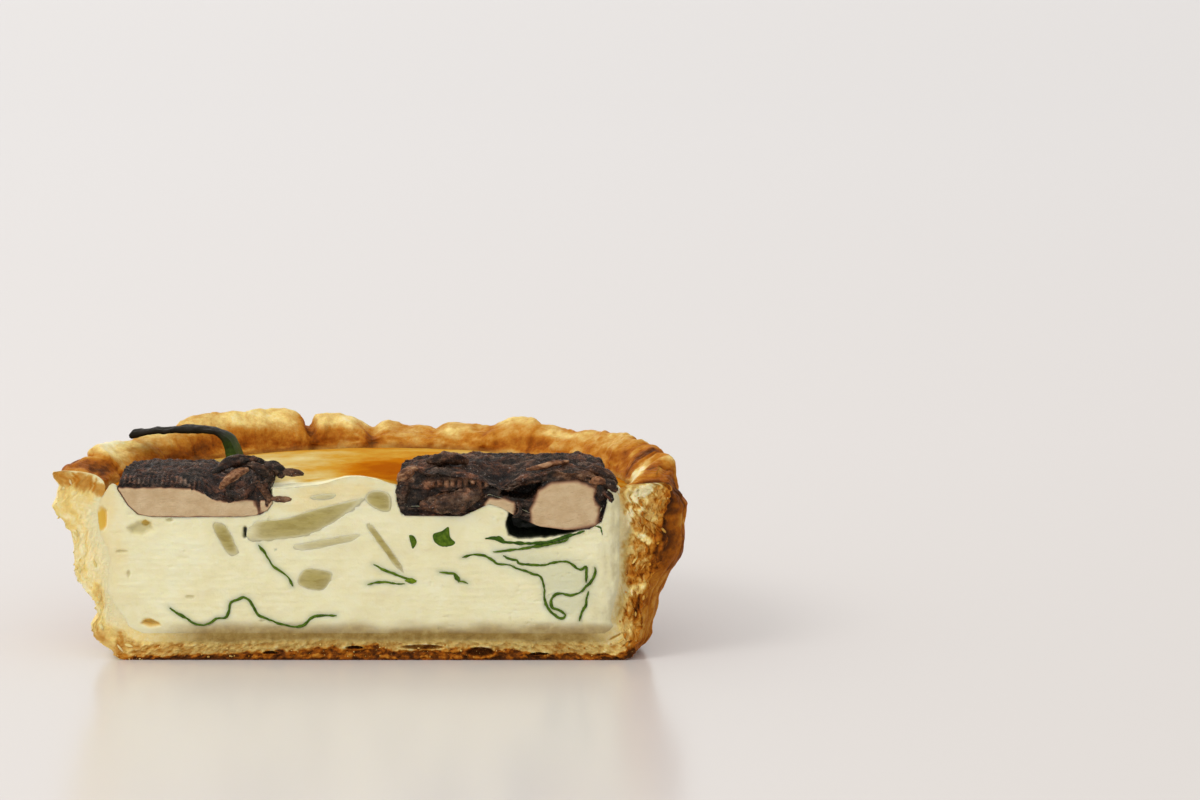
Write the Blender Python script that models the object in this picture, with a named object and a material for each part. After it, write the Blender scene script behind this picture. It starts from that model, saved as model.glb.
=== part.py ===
"""Half of a round spinach and mushroom quiche, cut across and resting on its base.

Metres, +Z up. The cut face looks along -Y and its long side runs along X. While the
pieces are made, the cut lies in the plane y = 0 with x = 0 at the middle of the base.
Outlines on the cut face are written in millimetres, as (x, z).
"""

import math

import bmesh
import bpy
import numpy as np

MM = 0.001
SEED = 17

# The whole
RIM_RADIUS = 0.0585
BASE_RADIUS = 0.0490
CRUST_HEIGHT = 0.0350
OVERRUN = math.radians(7)  # the cut misses the middle, so the piece is a little over a half
LEAN = 0.0020  # how far the rim sits to the left of the base
GAP = 0.0003  # clearance between pieces that touch

# Crust
BASE_THICKNESS = 0.0052
WALL_AT_BASE = 0.0052
WALL_AT_RIM = 0.0074
UNDERSIDE_INSET = 0.0012
FLOOR_CORNER = 0.0024
FLARE = 0.62  # the wall rises steeply after a quick start
FLUTES = 17
FLUTE_DEPTH = 0.0013
END_FLUTE_DEPTH = 0.0026  # the fat flute just behind the right end of the cut
STEPS_PER_FLUTE = 5
RIM_LIFT = 0.0011
TALL_FLUTES = (0, 9, 10)  # humps of the rim that stand higher than the rest
TALL_LIFT = 0.0028
CREST_INSET = 0.0027
OUTER_HEIGHTS = (0.0, 0.0009, 0.0040, 0.0090, 0.0145, 0.0200, 0.0255, 0.0295, 0.0325)
INNER_HEIGHTS = (0.0, 0.0066, 0.0095, 0.0130, 0.0175, 0.0220, 0.0265, 0.0308, 0.0326)
FLOOR_STEPS = 26
LAYER_RELIEF = (0.0, 0.00030, -0.00035, 0.00030, -0.00020, 0.0)  # one value for each flaky layer
BLISTERS = ((-5.3, 3.4), (8.7, 4.2), (-26.0, 2.4))  # middle and half length of gaps in the base, in mm
BLISTER_DEPTH = 0.0014

# Custard
MIDDLE_HEIGHT = 0.0330
TOP_SHARES = (0.96, 0.90, 0.80, 0.65, 0.48, 0.30, 0.15, 0.0)
MOUND = (-0.0035, 0.0022, 0.0070, 0.0090)  # place along the cut, height, half length, half depth
TOP_RIPPLE = 0.00045

# Mushrooms: outlines of the cut face
LEFT_CAP = {
    "middle": -0.0338,
    "half_length": 0.0146,
    "depth": 0.0200,
    "back_height": 0.0350,
    "under": ((-48.4, 33.0), (-46.4, 30.2), (-44.3, 28.0), (-38.0, 27.8), (-20.0, 27.9), (-19.2, 30.0)),
    "over": ((-48.4, 33.2), (-47.0, 33.8), (-36.5, 33.6), (-33.0, 32.8), (-30.0, 30.8), (-26.5, 30.6),
             (-24.5, 31.6), (-22.0, 33.6), (-20.0, 33.2), (-19.2, 30.4)),
    "lump": (-0.0215, 0.0060, 0.0020, 0.0042),  # x, y, height and spread
}
RIGHT_CAP = {
    "middle": 0.0240,
    "half_length": 0.0198,
    "depth": 0.0180,
    "back_height": 0.0366,
    "under": ((4.2, 31.0), (4.9, 28.6), (5.8, 27.9), (16.5, 27.8), (19.2, 29.0), (21.6, 30.2), (24.0, 29.4),
              (27.0, 27.6), (31.0, 25.9), (36.0, 25.2), (40.5, 25.3), (42.8, 26.8), (43.8, 30.5)),
    "over": ((4.2, 31.6), (5.0, 35.0), (12.0, 35.6), (18.0, 35.0), (22.0, 33.2), (25.0, 31.9), (28.0, 33.6),
             (32.0, 35.6), (38.0, 36.0), (42.0, 34.6), (43.8, 31.0)),
    "lump": (0.0330, 0.0090, 0.0008, 0.0080),
}
CAP_STEPS = 36
CAP_SHARES = (0.0, 0.30, 0.52, 0.70, 0.84, 0.93, 0.98)
GILL_RELIEF = 0.00030
CAP_RIPPLE = 0.0004
LEVEL_DEPTH = 0.0055  # how far back the gills take to level out behind the cut

# Spinach: the lines that the shreds draw on the cut face
SHRED_THICKNESS = 0.0005
SHREDS = {
    "spinach_long": ((-39.0, 10.1), (-36.8, 8.8), (-34.9, 7.7), (-32.6, 7.1), (-30.4, 7.9), (-28.7, 8.9),
                     (-27.4, 10.9), (-25.4, 12.0), (-23.8, 11.3), (-22.5, 9.6), (-20.4, 8.2), (-17.1, 7.1),
                     (-14.8, 6.9), (-13.2, 7.6), (-10.7, 8.7), (-7.5, 8.5)),
    "spinach_diagonal": ((-21.9, 21.9), (-20.8, 20.2), (-19.5, 18.4), (-17.4, 16.9), (-16.1, 15.7),
                         (-15.8, 14.4)),
    "spinach_fork_upper": ((-0.4, 18.4), (1.7, 17.7), (3.8, 16.9), (5.8, 16.1), (7.3, 15.7)),
    "spinach_fork_lower": ((-1.3, 14.6), (1.7, 15.0), (5.0, 14.8)),
    "spinach_hook": ((12.2, 17.1), (14.1, 16.9), (15.5, 16.4), (16.5, 15.2), (17.6, 14.9)),
    "spinach_cluster_1": ((16.5, 19.8), (18.8, 20.2), (20.6, 20.1), (22.7, 19.1), (25.5, 18.2), (28.1, 17.4),
                          (30.0, 16.5), (31.4, 15.1), (31.8, 12.8), (32.2, 10.3), (33.4, 8.6), (35.1, 7.9)),
    "spinach_cluster_2": ((35.8, 9.5), (34.4, 9.9), (33.6, 11.0), (34.6, 12.3), (36.9, 12.5), (39.0, 13.1),
                          (40.3, 14.6), (41.3, 16.2), (41.6, 18.2)),
    "spinach_cluster_3": ((23.8, 20.3), (26.4, 19.7), (28.5, 18.9), (30.9, 18.4), (33.4, 18.5), (35.8, 18.9),
                          (37.6, 18.1), (39.0, 17.2), (39.4, 15.8)),
    "spinach_cluster_4": ((21.6, 21.1), (24.2, 21.3), (29.2, 21.8), (32.6, 22.4)),
    "spinach_cluster_5": ((41.2, 13.0), (40.6, 11.1), (39.2, 9.0), (38.6, 7.6)),
}
SHRED_FRONT = -0.00015  # shreds stand a hair proud of the cut
SHRED_DEPTHS = (0.0060, 0.0095)
SHRED_DRIFT = 0.0004
SHRED_WAVE = 0.0004

# Larger scraps of leaf, and the curled one that stands on top
SCRAP_DEPTH = 0.0030
SCRAP_TAPER = 0.3
SCRAPS = {
    "spinach_fold": ((11.3, 24.2), (12.7, 24.7), (13.8, 25.4), (14.1, 23.9), (15.1, 22.6), (14.4, 22.1),
                     (12.7, 22.1), (11.5, 22.9)),
    "spinach_dot": ((6.5, 23.9), (7.3, 23.7), (7.8, 22.6), (7.2, 21.7), (6.8, 22.6)),
}
TOP_LEAF = ((-47.8, 38.2), (-45.6, 38.9), (-42.2, 39.5), (-38.2, 39.8), (-34.2, 39.6), (-30.7, 38.9),
            (-28.2, 37.6), (-27.0, 35.6), (-26.4, 33.6), (-25.6, 31.4))
TOP_LEAF_THICKNESS = 0.0007
TOP_LEAF_FRONT = 0.0300
TOP_LEAF_BACK = 0.0345
TOP_LEAF_DRIFT = (0.0008, 0.0)

# Onion: outlines on the cut face
ONIONS = {
    "onion_band": ((-23.1, 25.2), (-22.1, 26.6), (-17.1, 27.2), (-12.2, 28.8), (-6.8, 30.2), (-2.6, 30.9),
                   (-4.7, 28.7), (-8.1, 26.3), (-12.2, 24.4), (-17.1, 23.5), (-22.5, 23.3)),
    "onion_crescent": ((-15.4, 22.0), (-12.0, 22.9), (-8.6, 23.5), (-3.0, 24.3), (-3.6, 23.3), (-7.1, 22.3),
                       (-10.9, 21.5), (-13.9, 21.2)),
    "onion_rod_left": ((-30.6, 26.0), (-28.1, 26.0), (-25.9, 21.0), (-27.8, 20.6)),
    "onion_wedge": ((-14.6, 15.3), (-13.1, 17.6), (-9.4, 17.3), (-8.1, 16.5), (-9.8, 13.6), (-13.1, 13.9)),
    "onion_rod_right": ((-1.3, 25.4), (-0.4, 26.0), (5.1, 18.2), (4.5, 17.5)),
    "onion_block": ((-1.4, 32.0), (0.0, 32.6), (1.8, 32.4), (2.9, 31.2), (2.8, 29.0), (1.5, 28.9),
                    (-0.2, 29.6), (-1.4, 30.6)),
    "onion_sliver": ((-12.2, 31.4), (-10.1, 31.9), (-7.5, 32.0), (-7.8, 31.3), (-10.1, 30.8)),
}
ONION_FRONT = -0.0001
ONION_DEPTH = 0.0065
ONION_TAPER = 0.12

# Hollows that the cut opens in the custard: outline and depth
HOLLOWS = {
    "hollow_under_cap": (((24.6, 26.6), (25.4, 29.0), (26.8, 27.9), (29.4, 26.6), (32.6, 25.8), (36.8, 25.5),
                          (40.5, 25.6), (36.8, 24.4), (32.2, 23.6), (27.0, 23.3), (25.2, 24.0)), 0.0110),
    "hollow_left": (((-46.4, 26.0), (-44.6, 26.8), (-42.2, 26.6), (-42.4, 24.8), (-44.2, 23.6),
                     (-46.0, 24.2)), 0.0022),
    "hollow_base": (((-44.6, 7.8), (-42.8, 8.3), (-40.8, 7.3), (-42.6, 6.7)), 0.0020),
}
CUTTER_FRONT = -0.0015  # cutters start this far in front of the cut

# Colours, roughness
CRUST_LOOK = ((0.50, 0.22, 0.055), 0.6)
CUSTARD_LOOK = ((0.72, 0.64, 0.43), 0.35)
MUSHROOM_LOOK = ((0.10, 0.065, 0.04), 0.4)
SPINACH_LOOK = ((0.06, 0.11, 0.02), 0.4)
ONION_LOOK = ((0.45, 0.37, 0.15), 0.3)


def clear_scene():
    for thing in list(bpy.data.objects):
        bpy.data.objects.remove(thing, do_unlink=True)


def make_material(name, look):
    colour, roughness = look
    material = bpy.data.materials.new(name)
    material.use_nodes = True
    shader = material.node_tree.nodes["Principled BSDF"]
    shader.inputs["Base Color"].default_value = (*colour, 1.0)
    shader.inputs["Roughness"].default_value = roughness
    shader.inputs["Metallic"].default_value = 0.0
    return material


def ripple(x, y, size, seed):
    """Smooth unevenness between about -1 and 1, with humps of about this size."""
    random = np.random.default_rng(seed)
    total = 0.0
    for _ in range(5):
        heading = random.uniform(0, math.tau)
        phase = random.uniform(0, math.tau)
        pace = math.tau / size * random.uniform(0.5, 1.1)
        total = total + np.sin(pace * (x * math.cos(heading) + y * math.sin(heading)) + phase)
    return total / 3


def add_sheet(mesh, points):
    """Adds a sheet through an array of points (rows, columns, 3), with every cell split the same way."""
    rows, columns = points.shape[:2]
    corners = [[mesh.verts.new(points[i, j]) for j in range(columns)] for i in range(rows)]
    for i in range(rows - 1):
        for j in range(columns - 1):
            mesh.faces.new((corners[i][j], corners[i][j + 1], corners[i + 1][j + 1]))
            mesh.faces.new((corners[i][j], corners[i + 1][j + 1], corners[i + 1][j]))


def add_outline_face(mesh, points):
    mesh.faces.new([mesh.verts.new(point) for point in points])


def finish_object(name, mesh, material, smooth_angle=math.radians(40)):
    """Welds the sheets into one closed body and makes the object."""
    bmesh.ops.remove_doubles(mesh, verts=mesh.verts, dist=0.01 * MM)
    bmesh.ops.dissolve_degenerate(mesh, edges=mesh.edges, dist=0.001 * MM)
    bmesh.ops.triangulate(mesh, faces=mesh.faces)
    bmesh.ops.recalc_face_normals(mesh, faces=mesh.faces)
    data = bpy.data.meshes.new(name)
    mesh.to_mesh(data)
    mesh.free()
    data.shade_smooth()
    data.set_sharp_from_angle(angle=smooth_angle)
    data.materials.append(material)
    thing = bpy.data.objects.new(name, data)
    bpy.context.scene.collection.objects.link(thing)
    return thing


def plan(turn, radius, height):
    """The point at this share of the way round, from the right end of the cut to the left."""
    angle = turn * (math.pi + 2 * OVERRUN) - OVERRUN
    x = radius * np.cos(angle) - LEAN * height / CRUST_HEIGHT
    y = radius * (np.sin(angle) + math.sin(OVERRUN))
    return np.stack(np.broadcast_arrays(x, y, height), axis=-1)


def flutes():
    """Where each flute of the wall starts and ends, as shares of the way round, and its depth and lift."""
    random = np.random.default_rng(SEED)
    widths = random.uniform(0.82, 1.18, FLUTES)
    edges = np.concatenate(([0.0], np.cumsum(widths) / widths.sum()))
    depths = FLUTE_DEPTH * random.uniform(0.7, 1.3, FLUTES)
    depths[0] = END_FLUTE_DEPTH
    lifts = RIM_LIFT * random.uniform(0.3, 1.5, FLUTES)
    lifts[list(TALL_FLUTES)] = TALL_LIFT
    return edges, depths, lifts


def stations():
    """Shares of the way round at which the crust has a section, with its flute bulge and rim lift there."""
    edges, depths, lifts = flutes()
    steps = np.arange(STEPS_PER_FLUTE) / STEPS_PER_FLUTE
    turns = []
    bulges = []
    rises = []
    for i in range(FLUTES):
        arch = np.sin(math.pi * steps) ** 0.6
        turns.extend(edges[i] + steps * (edges[i + 1] - edges[i]))
        bulges.extend(arch * depths[i])
        rises.extend(arch * lifts[i])
    return np.array(turns + [1.0]), np.array(bulges + [0.0]), np.array(rises + [0.0])


def outer_radius(height):
    return BASE_RADIUS + (RIM_RADIUS - BASE_RADIUS) * (height / CRUST_HEIGHT) ** FLARE


def inner_radius(height):
    return outer_radius(height) - WALL_AT_BASE - (WALL_AT_RIM - WALL_AT_BASE) * height / CRUST_HEIGHT


def outer_rows(turns, bulges, rises):
    """The outside of the wall, from the edge of the underside up to the crest of the rim."""
    rows = [plan(turns, BASE_RADIUS - UNDERSIDE_INSET + 0 * turns, 0 * turns)]
    for height in OUTER_HEIGHTS[1:]:
        depth = bulges * min(1.0, 0.35 + 0.75 * height / CRUST_HEIGHT)
        rows.append(plan(turns, outer_radius(height) + depth, height + 0 * turns))
    shoulder = CRUST_HEIGHT - 0.0006
    rows.append(plan(turns, outer_radius(shoulder) + bulges - 0.0004, shoulder + 0.7 * rises))
    return rows + [crest_row(turns, bulges, rises)]


def crest_row(turns, bulges, rises):
    radius = outer_radius(CRUST_HEIGHT) - CREST_INSET + 0.9 * bulges
    return plan(turns, radius, CRUST_HEIGHT + rises)


def inner_rows(turns, bulges, rises, shrink=0.0):
    """The inside of the wall, from the floor up to the crest. Shrink moves it in, to fit the custard."""
    floor = BASE_THICKNESS + shrink
    rows = [plan(turns, inner_radius(BASE_THICKNESS) - FLOOR_CORNER - shrink + 0 * turns, floor + 0 * turns)]
    for k, height in enumerate(INNER_HEIGHTS[1:], start=1):
        share = max(0.0, (height - INNER_HEIGHTS[7]) / (CRUST_HEIGHT - INNER_HEIGHTS[7]))
        radius = inner_radius(height) + 0.8 * share * bulges - shrink
        rows.append(plan(turns, radius, height + shrink * max(0.0, 1 - k / 3) + 0 * turns))
    lip = CRUST_HEIGHT - 0.0010
    rows.append(plan(turns, inner_radius(lip) + 0.0014 + 0.8 * bulges, lip + 0.6 * rises))
    return rows + [crest_row(turns, bulges, rises)]


def crust_cut_pairs(outside, inside):
    """Pairs of points, one outside and one inside, all along the cut from the right crest to the left."""
    right = [(outside[k][0], inside[k][0]) for k in range(len(outside) - 1, -1, -1)]
    left = [(outside[k][-1], inside[k][-1]) for k in range(len(outside))]
    floor = []
    for i in range(1, FLOOR_STEPS):
        share = i / FLOOR_STEPS
        under = right[-1][0] + share * (left[0][0] - right[-1][0])
        over = right[-1][1] + share * (left[0][1] - right[-1][1])
        floor.append((under, over))
    return right + floor + left


def flaky_relief(point, layer):
    """How far a point between two layers of pastry stands back from the cut."""
    back = LAYER_RELIEF[layer] * (0.8 + 0.6 * ripple(point[0], point[2], 0.009, SEED + layer))
    for middle, half_length in BLISTERS:
        reach = 1 - ((point[0] / MM - middle) / half_length) ** 2
        if layer == 2 and reach > 0 and point[2] < BASE_THICKNESS:
            back += BLISTER_DEPTH * math.sqrt(reach)
    return back


def crust_cut_face(pairs):
    layers = len(LAYER_RELIEF) - 1
    face = np.empty((len(pairs), layers + 1, 3))
    for i, (outside, inside) in enumerate(pairs):
        crest = np.allclose(outside, inside)
        for layer in range(layers + 1):
            point = outside + (inside - outside) * layer / layers
            back = 0.0 if crest else flaky_relief(point, layer)
            face[i, layer] = point + np.array((0.0, back, 0.0))
    return face


def build_crust(material):
    """A fluted wall on a flat base, with an uneven rim and flaky layers showing at the cut."""
    turns, bulges, rises = stations()
    outside = outer_rows(turns, bulges, rises)
    inside = inner_rows(turns, bulges, rises)
    mesh = bmesh.new()
    add_sheet(mesh, np.array(outside))
    add_sheet(mesh, np.array(inside))
    face = crust_cut_face(crust_cut_pairs(outside, inside))
    add_sheet(mesh, face)
    walls = len(outside)
    floor = slice(walls, -walls)
    add_outline_face(mesh, [*outside[0], *face[floor, 0][::-1]])
    add_outline_face(mesh, [*inside[0], *face[floor, -1][::-1]])
    return finish_object("crust", mesh, material)


def custard_height(x, y, share):
    """Height of the custard's top, where share is 0 at the middle of the cut and 1 at the crust."""
    edge = INNER_HEIGHTS[7]
    place, rise, half_length, half_depth = MOUND
    mound = rise * np.exp(-(((x - place) / half_length) ** 2) - (y / half_depth) ** 2)
    uneven = TOP_RIPPLE * ripple(x, y, 0.016, SEED + 30)
    return edge + (MIDDLE_HEIGHT - edge) * (1 - share**6) + (mound + uneven) * (1 - share**4)


def build_custard(material):
    """The set filling, as a body that fits the crust with a hair of room all round."""
    turns, bulges, rises = (values[::2] for values in stations())
    wall = inner_rows(turns, bulges, rises, shrink=GAP)[: len(INNER_HEIGHTS) - 1]
    top = [wall[-1]]
    for share in TOP_SHARES:
        row = wall[-1] * share
        row[:, 2] = custard_height(row[:, 0], row[:, 1], share)
        top.append(row)
    mesh = bmesh.new()
    add_sheet(mesh, np.array(wall))
    add_sheet(mesh, np.array(top))
    add_outline_face(mesh, wall[0])
    up_right = [row[0] for row in wall]
    down_left = [row[-1] for row in wall[::-1]]
    across = [row[0] for row in top[1:-1]]
    back_across = [row[-1] for row in top[1:]][::-1]
    add_outline_face(mesh, [*up_right, *across, *back_across, *down_left])
    return finish_object("custard", mesh, material)


def cap_points(cap, share, angles, outline, grow=0.0):
    """Points of a mushroom at this share of the way out, with the height read from an outline of its cut."""
    out = share * cap["half_length"] * np.cos(angles)
    line = np.array(outline) * MM
    height = np.interp(cap["middle"] + out, line[:, 0], line[:, 1])
    x = cap["middle"] + out * (1 + grow / cap["half_length"])
    y = share * (cap["depth"] + grow) * np.sin(angles)
    return x, y, height


def cap_rim_height(cap, angles):
    """The rim runs between the skin side and the gills, and the gills level out behind the cut."""
    _, _, under = cap_points(cap, 1.0, angles, cap["under"])
    _, _, over = cap_points(cap, 1.0, angles, cap["over"])
    gills = over + (cap["back_height"] - over) * np.sin(angles) ** 0.5
    return 0.4 * under + 0.6 * gills


def cap_sheets(cap, grow=0.0):
    """The skin side and the gill side of a mushroom half buried in the custard, gills up."""
    angles = np.linspace(0.0, math.pi, CAP_STEPS + 1)
    rim = cap_rim_height(cap, angles)
    lump_x, lump_y, lump_height, spread = cap["lump"]
    gills = GILL_RELIEF * np.cos(math.pi * np.arange(CAP_STEPS + 1)) * (np.sin(angles) > 0.05)
    under = []
    over = []
    for share in CAP_SHARES:
        pull = share**9
        x, y, low = cap_points(cap, share, angles, cap["under"], grow)
        under.append(np.stack((x, y, low + pull * (rim - low)), axis=-1))
        x, y, high = cap_points(cap, share, angles, cap["over"], grow)
        high = high + (cap["back_height"] - high) * (1 - np.exp(-((y / LEVEL_DEPTH) ** 2)))
        high = high + lump_height * np.exp(-((x - lump_x) ** 2 + (y - lump_y) ** 2) / spread**2)
        ridged = gills * (0.25 < share < 0.95)
        uneven = CAP_RIPPLE * ripple(x, y, 0.008, SEED + 50) * np.minimum(1.0, y / LEVEL_DEPTH)
        over.append(np.stack((x, y, high + pull * (rim - high) + ridged + uneven * (share < 0.95)), axis=-1))
    x, y, _ = cap_points(cap, 1.0, angles, cap["under"], grow)
    edge = np.stack((x, y, rim), axis=-1)
    return under + [edge], over + [edge]


def add_half_turned(mesh, under, over):
    """Closes two half-turned sheets that share their rim with flat strips along the cut."""
    add_sheet(mesh, np.array(under))
    add_sheet(mesh, np.array(over))
    for end in (0, -1):
        add_sheet(mesh, np.array([(low[end], high[end]) for low, high in zip(under, over)]))


def build_mushroom(name, cap, material):
    mesh = bmesh.new()
    add_half_turned(mesh, *cap_sheets(cap))
    return finish_object(name, mesh, material)


def build_mushroom_cutter(name, cap, material):
    """Clears the custard from just under a mushroom up to above its gills."""
    under, over = cap_sheets(cap, 1.5 * GAP - CUTTER_FRONT / 2)
    shift = np.array((0.0, CUTTER_FRONT / 2, -1.3 * GAP))
    under = np.array(under) + shift
    over = under.copy()
    over[:, :, 2] = CRUST_HEIGHT + 0.010
    mesh = bmesh.new()
    add_half_turned(mesh, under, over)
    add_sheet(mesh, np.array((under[-1], over[-1])))
    return mark_cutter(finish_object(name, mesh, material))


def line_normals(points):
    """Unit sideways directions along an open line, longer at bends so that the width stays even."""
    steps = np.diff(points, axis=0)
    steps = steps / np.linalg.norm(steps, axis=1)[:, None]
    before = np.vstack((steps[:1], steps))
    after = np.vstack((steps, steps[-1:]))
    middle = before + after
    middle = middle / np.linalg.norm(middle, axis=1)[:, None]
    bend = np.clip(np.sum(middle * before, axis=1), 0.75, 1.0)
    return np.stack((-middle[:, 1], middle[:, 0]), axis=1) / bend[:, None]


def add_ribbon(mesh, line, thickness, front, back, drift):
    """A thin wavy strip that runs back from a line on the cut. Both sides are split into triangles alike."""
    line = np.array(line) * MM
    sideways = line_normals(line) * thickness / 2
    sides = []
    for sign in (1, -1):
        rows = []
        for share in (0.0, 0.5, 1.0):
            y = front + share * (back - front)
            wave = SHRED_WAVE * share * np.sin(line[:, 0] / (2.1 * MM))
            x = line[:, 0] + sign * sideways[:, 0] + share * drift[0]
            z = line[:, 1] + sign * sideways[:, 1] + share * drift[1] + wave
            rows.append([mesh.verts.new((x[i], y, z[i])) for i in range(len(line))])
        sides.append(rows)
    for rows in sides:
        for near, far in zip(rows, rows[1:]):
            for i in range(len(line) - 1):
                mesh.faces.new((near[i], near[i + 1], far[i + 1]))
                mesh.faces.new((near[i], far[i + 1], far[i]))
    one, other = sides
    for i in range(len(line) - 1):
        mesh.faces.new((one[0][i], one[0][i + 1], other[0][i + 1], other[0][i]))
        mesh.faces.new((one[2][i], one[2][i + 1], other[2][i + 1], other[2][i]))
    for i in (0, len(line) - 1):
        for k in (0, 1):
            mesh.faces.new((one[k][i], one[k + 1][i], other[k + 1][i], other[k][i]))


def stretched(line, reach):
    """The line with both ends moved out, in millimetres."""
    points = np.array(line, dtype=float)
    first = points[0] - points[1]
    last = points[-1] - points[-2]
    points[0] += first / np.linalg.norm(first) * reach
    points[-1] += last / np.linalg.norm(last) * reach
    return points


def build_ribbon(name, line, thickness, front, back, drift, material):
    mesh = bmesh.new()
    add_ribbon(mesh, line, thickness, front, back, drift)
    return finish_object(name, mesh, material)


def build_ribbon_slot(name, line, thickness, front, back, drift, start, material):
    """A slot round a ribbon, which starts at this depth and runs on past the ribbon's back and ends."""
    slope = np.array(drift) / (back - front)
    end = back + GAP
    first = stretched(line, GAP / MM) + slope * (start - front) / MM
    mesh = bmesh.new()
    add_ribbon(mesh, first, thickness + 2 * GAP, start, end, slope * (end - start))
    return mark_cutter(finish_object(name, mesh, material))


def closed_normals(points):
    """Outward directions at the corners of a closed outline."""
    around = np.roll(points, -1, axis=0) - points
    around = around / np.linalg.norm(around, axis=1)[:, None]
    before = np.roll(around, 1, axis=0)
    middle = around + before
    middle = middle / np.linalg.norm(middle, axis=1)[:, None]
    bend = np.clip(np.sum(middle * around, axis=1), 0.5, 1.0)
    outward = np.stack((middle[:, 1], -middle[:, 0]), axis=1) / bend[:, None]
    x, z = points.T
    area = np.sum(x * np.roll(z, -1) - np.roll(x, -1) * z)
    return outward if area > 0 else -outward


def add_slab(mesh, outline, grow, front, back, taper):
    """A piece with this outline at the cut, which narrows towards its back."""
    points = np.array(outline) * MM
    points = points + closed_normals(points) * grow
    centre = points.mean(axis=0)
    rows = []
    for share in (0.0, 0.5, 1.0):
        scale = 1 - taper * share**2
        shape = centre + (points - centre) * scale
        y = front + share * (back - front)
        ring = np.stack((shape[:, 0], np.full(len(shape), y), shape[:, 1]), axis=-1)
        rows.append(np.vstack((ring, ring[:1])))
    add_sheet(mesh, np.array(rows))
    add_outline_face(mesh, rows[0][:-1])
    add_outline_face(mesh, rows[-1][:-1])


def build_slab(name, outline, front, back, taper, material):
    mesh = bmesh.new()
    add_slab(mesh, outline, 0.0, front, back, taper)
    return finish_object(name, mesh, material)


def build_slab_cutter(name, outline, grow, back, material):
    mesh = bmesh.new()
    add_slab(mesh, outline, grow, CUTTER_FRONT, back + grow, 0.0)
    return mark_cutter(finish_object(name, mesh, material))


def mark_cutter(thing):
    thing.hide_render = True
    thing.display_type = "WIRE"
    return thing


def build_shreds(material):
    """The fine spinach shreds, with the slots that they lie in."""
    random = np.random.default_rng(SEED + 3)
    shreds = []
    slots = []
    for name, line in SHREDS.items():
        back = random.uniform(*SHRED_DEPTHS)
        drift = random.uniform(-SHRED_DRIFT, SHRED_DRIFT, 2)
        strip = (line, SHRED_THICKNESS, SHRED_FRONT, back, drift)
        shreds.append(build_ribbon(name, *strip, material))
        slots.append(build_ribbon_slot(name + "_slot", *strip, CUTTER_FRONT, material))
    return shreds, slots


def build_scraps(material):
    scraps = []
    slots = []
    for name, outline in SCRAPS.items():
        scraps.append(build_slab(name, outline, SHRED_FRONT, SCRAP_DEPTH, SCRAP_TAPER, material))
        slots.append(build_slab_cutter(name + "_slot", outline, GAP, SCRAP_DEPTH, material))
    return scraps, slots


def build_top_leaf(material):
    """A curled scrap of leaf that is rooted in the custard behind the left mushroom."""
    strip = (TOP_LEAF, TOP_LEAF_THICKNESS, TOP_LEAF_FRONT, TOP_LEAF_BACK, TOP_LEAF_DRIFT)
    leaf = build_ribbon("leaf_top", *strip, material)
    slot = build_ribbon_slot("leaf_top_slot", *strip, TOP_LEAF_FRONT - GAP, material)
    return leaf, slot


def build_onions(material):
    onions = []
    slots = []
    for name, outline in ONIONS.items():
        onions.append(build_slab(name, outline, ONION_FRONT, ONION_DEPTH, ONION_TAPER, material))
        slots.append(build_slab_cutter(name + "_slot", outline, GAP, ONION_DEPTH, material))
    return onions, slots


def build_hollows(material):
    return [build_slab_cutter(name, outline, 0.0, depth, material) for name, (outline, depth) in HOLLOWS.items()]


def cut_from(body, cutters):
    """Cuts a group of helpers from a body with one Boolean, which stays on it as a modifier."""
    group = bpy.data.collections.new(body.name + "_cutters")
    bpy.context.scene.collection.children.link(group)
    for cutter in cutters:
        bpy.context.scene.collection.objects.unlink(cutter)
        group.objects.link(cutter)
    cut = body.modifiers.new("pockets", "BOOLEAN")
    cut.operation = "DIFFERENCE"
    cut.operand_type = "COLLECTION"
    cut.collection = group
    cut.solver = "EXACT"


def centre_on_base(pieces, crust):
    """Hangs every piece on an empty and moves it so that the origin is under the middle of the whole."""
    corners = np.array([vertex.co for vertex in crust.data.vertices])
    middle = (corners.min(axis=0) + corners.max(axis=0)) / 2
    carrier = bpy.data.objects.new("quiche", None)
    bpy.context.scene.collection.objects.link(carrier)
    carrier.location = (-middle[0], -middle[1], 0.0)
    for piece in pieces:
        piece.parent = carrier


def main():
    clear_scene()
    crust = build_crust(make_material("crust", CRUST_LOOK))
    custard = build_custard(make_material("custard", CUSTARD_LOOK))
    flesh = make_material("mushroom", MUSHROOM_LOOK)
    leaf = make_material("spinach", SPINACH_LOOK)
    onion = make_material("onion", ONION_LOOK)
    pieces = [crust, custard]
    cutters = []
    for name, cap in (("mushroom_left", LEFT_CAP), ("mushroom_right", RIGHT_CAP)):
        pieces.append(build_mushroom(name, cap, flesh))
        cutters.append(build_mushroom_cutter(name + "_pocket", cap, flesh))
    for made, slots in (build_shreds(leaf), build_scraps(leaf), build_onions(onion)):
        pieces.extend(made)
        cutters.extend(slots)
    top_leaf, top_slot = build_top_leaf(leaf)
    pieces.append(top_leaf)
    cutters.append(top_slot)
    cutters.extend(build_hollows(onion))
    cut_from(custard, cutters)
    centre_on_base(pieces + cutters, crust)


main()
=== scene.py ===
"""Looks of half a spinach and mushroom quiche: baked crust, set custard, mushrooms, leaf and onion.

Shapes are worked out in millimetres in the cut's own frame: the cut lies in the plane y = 0 and faces -Y,
x = 0 is the middle of the base, and z is the height over the table. Outlines on the cut are (x, z).
"""

import math
from itertools import product

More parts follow.
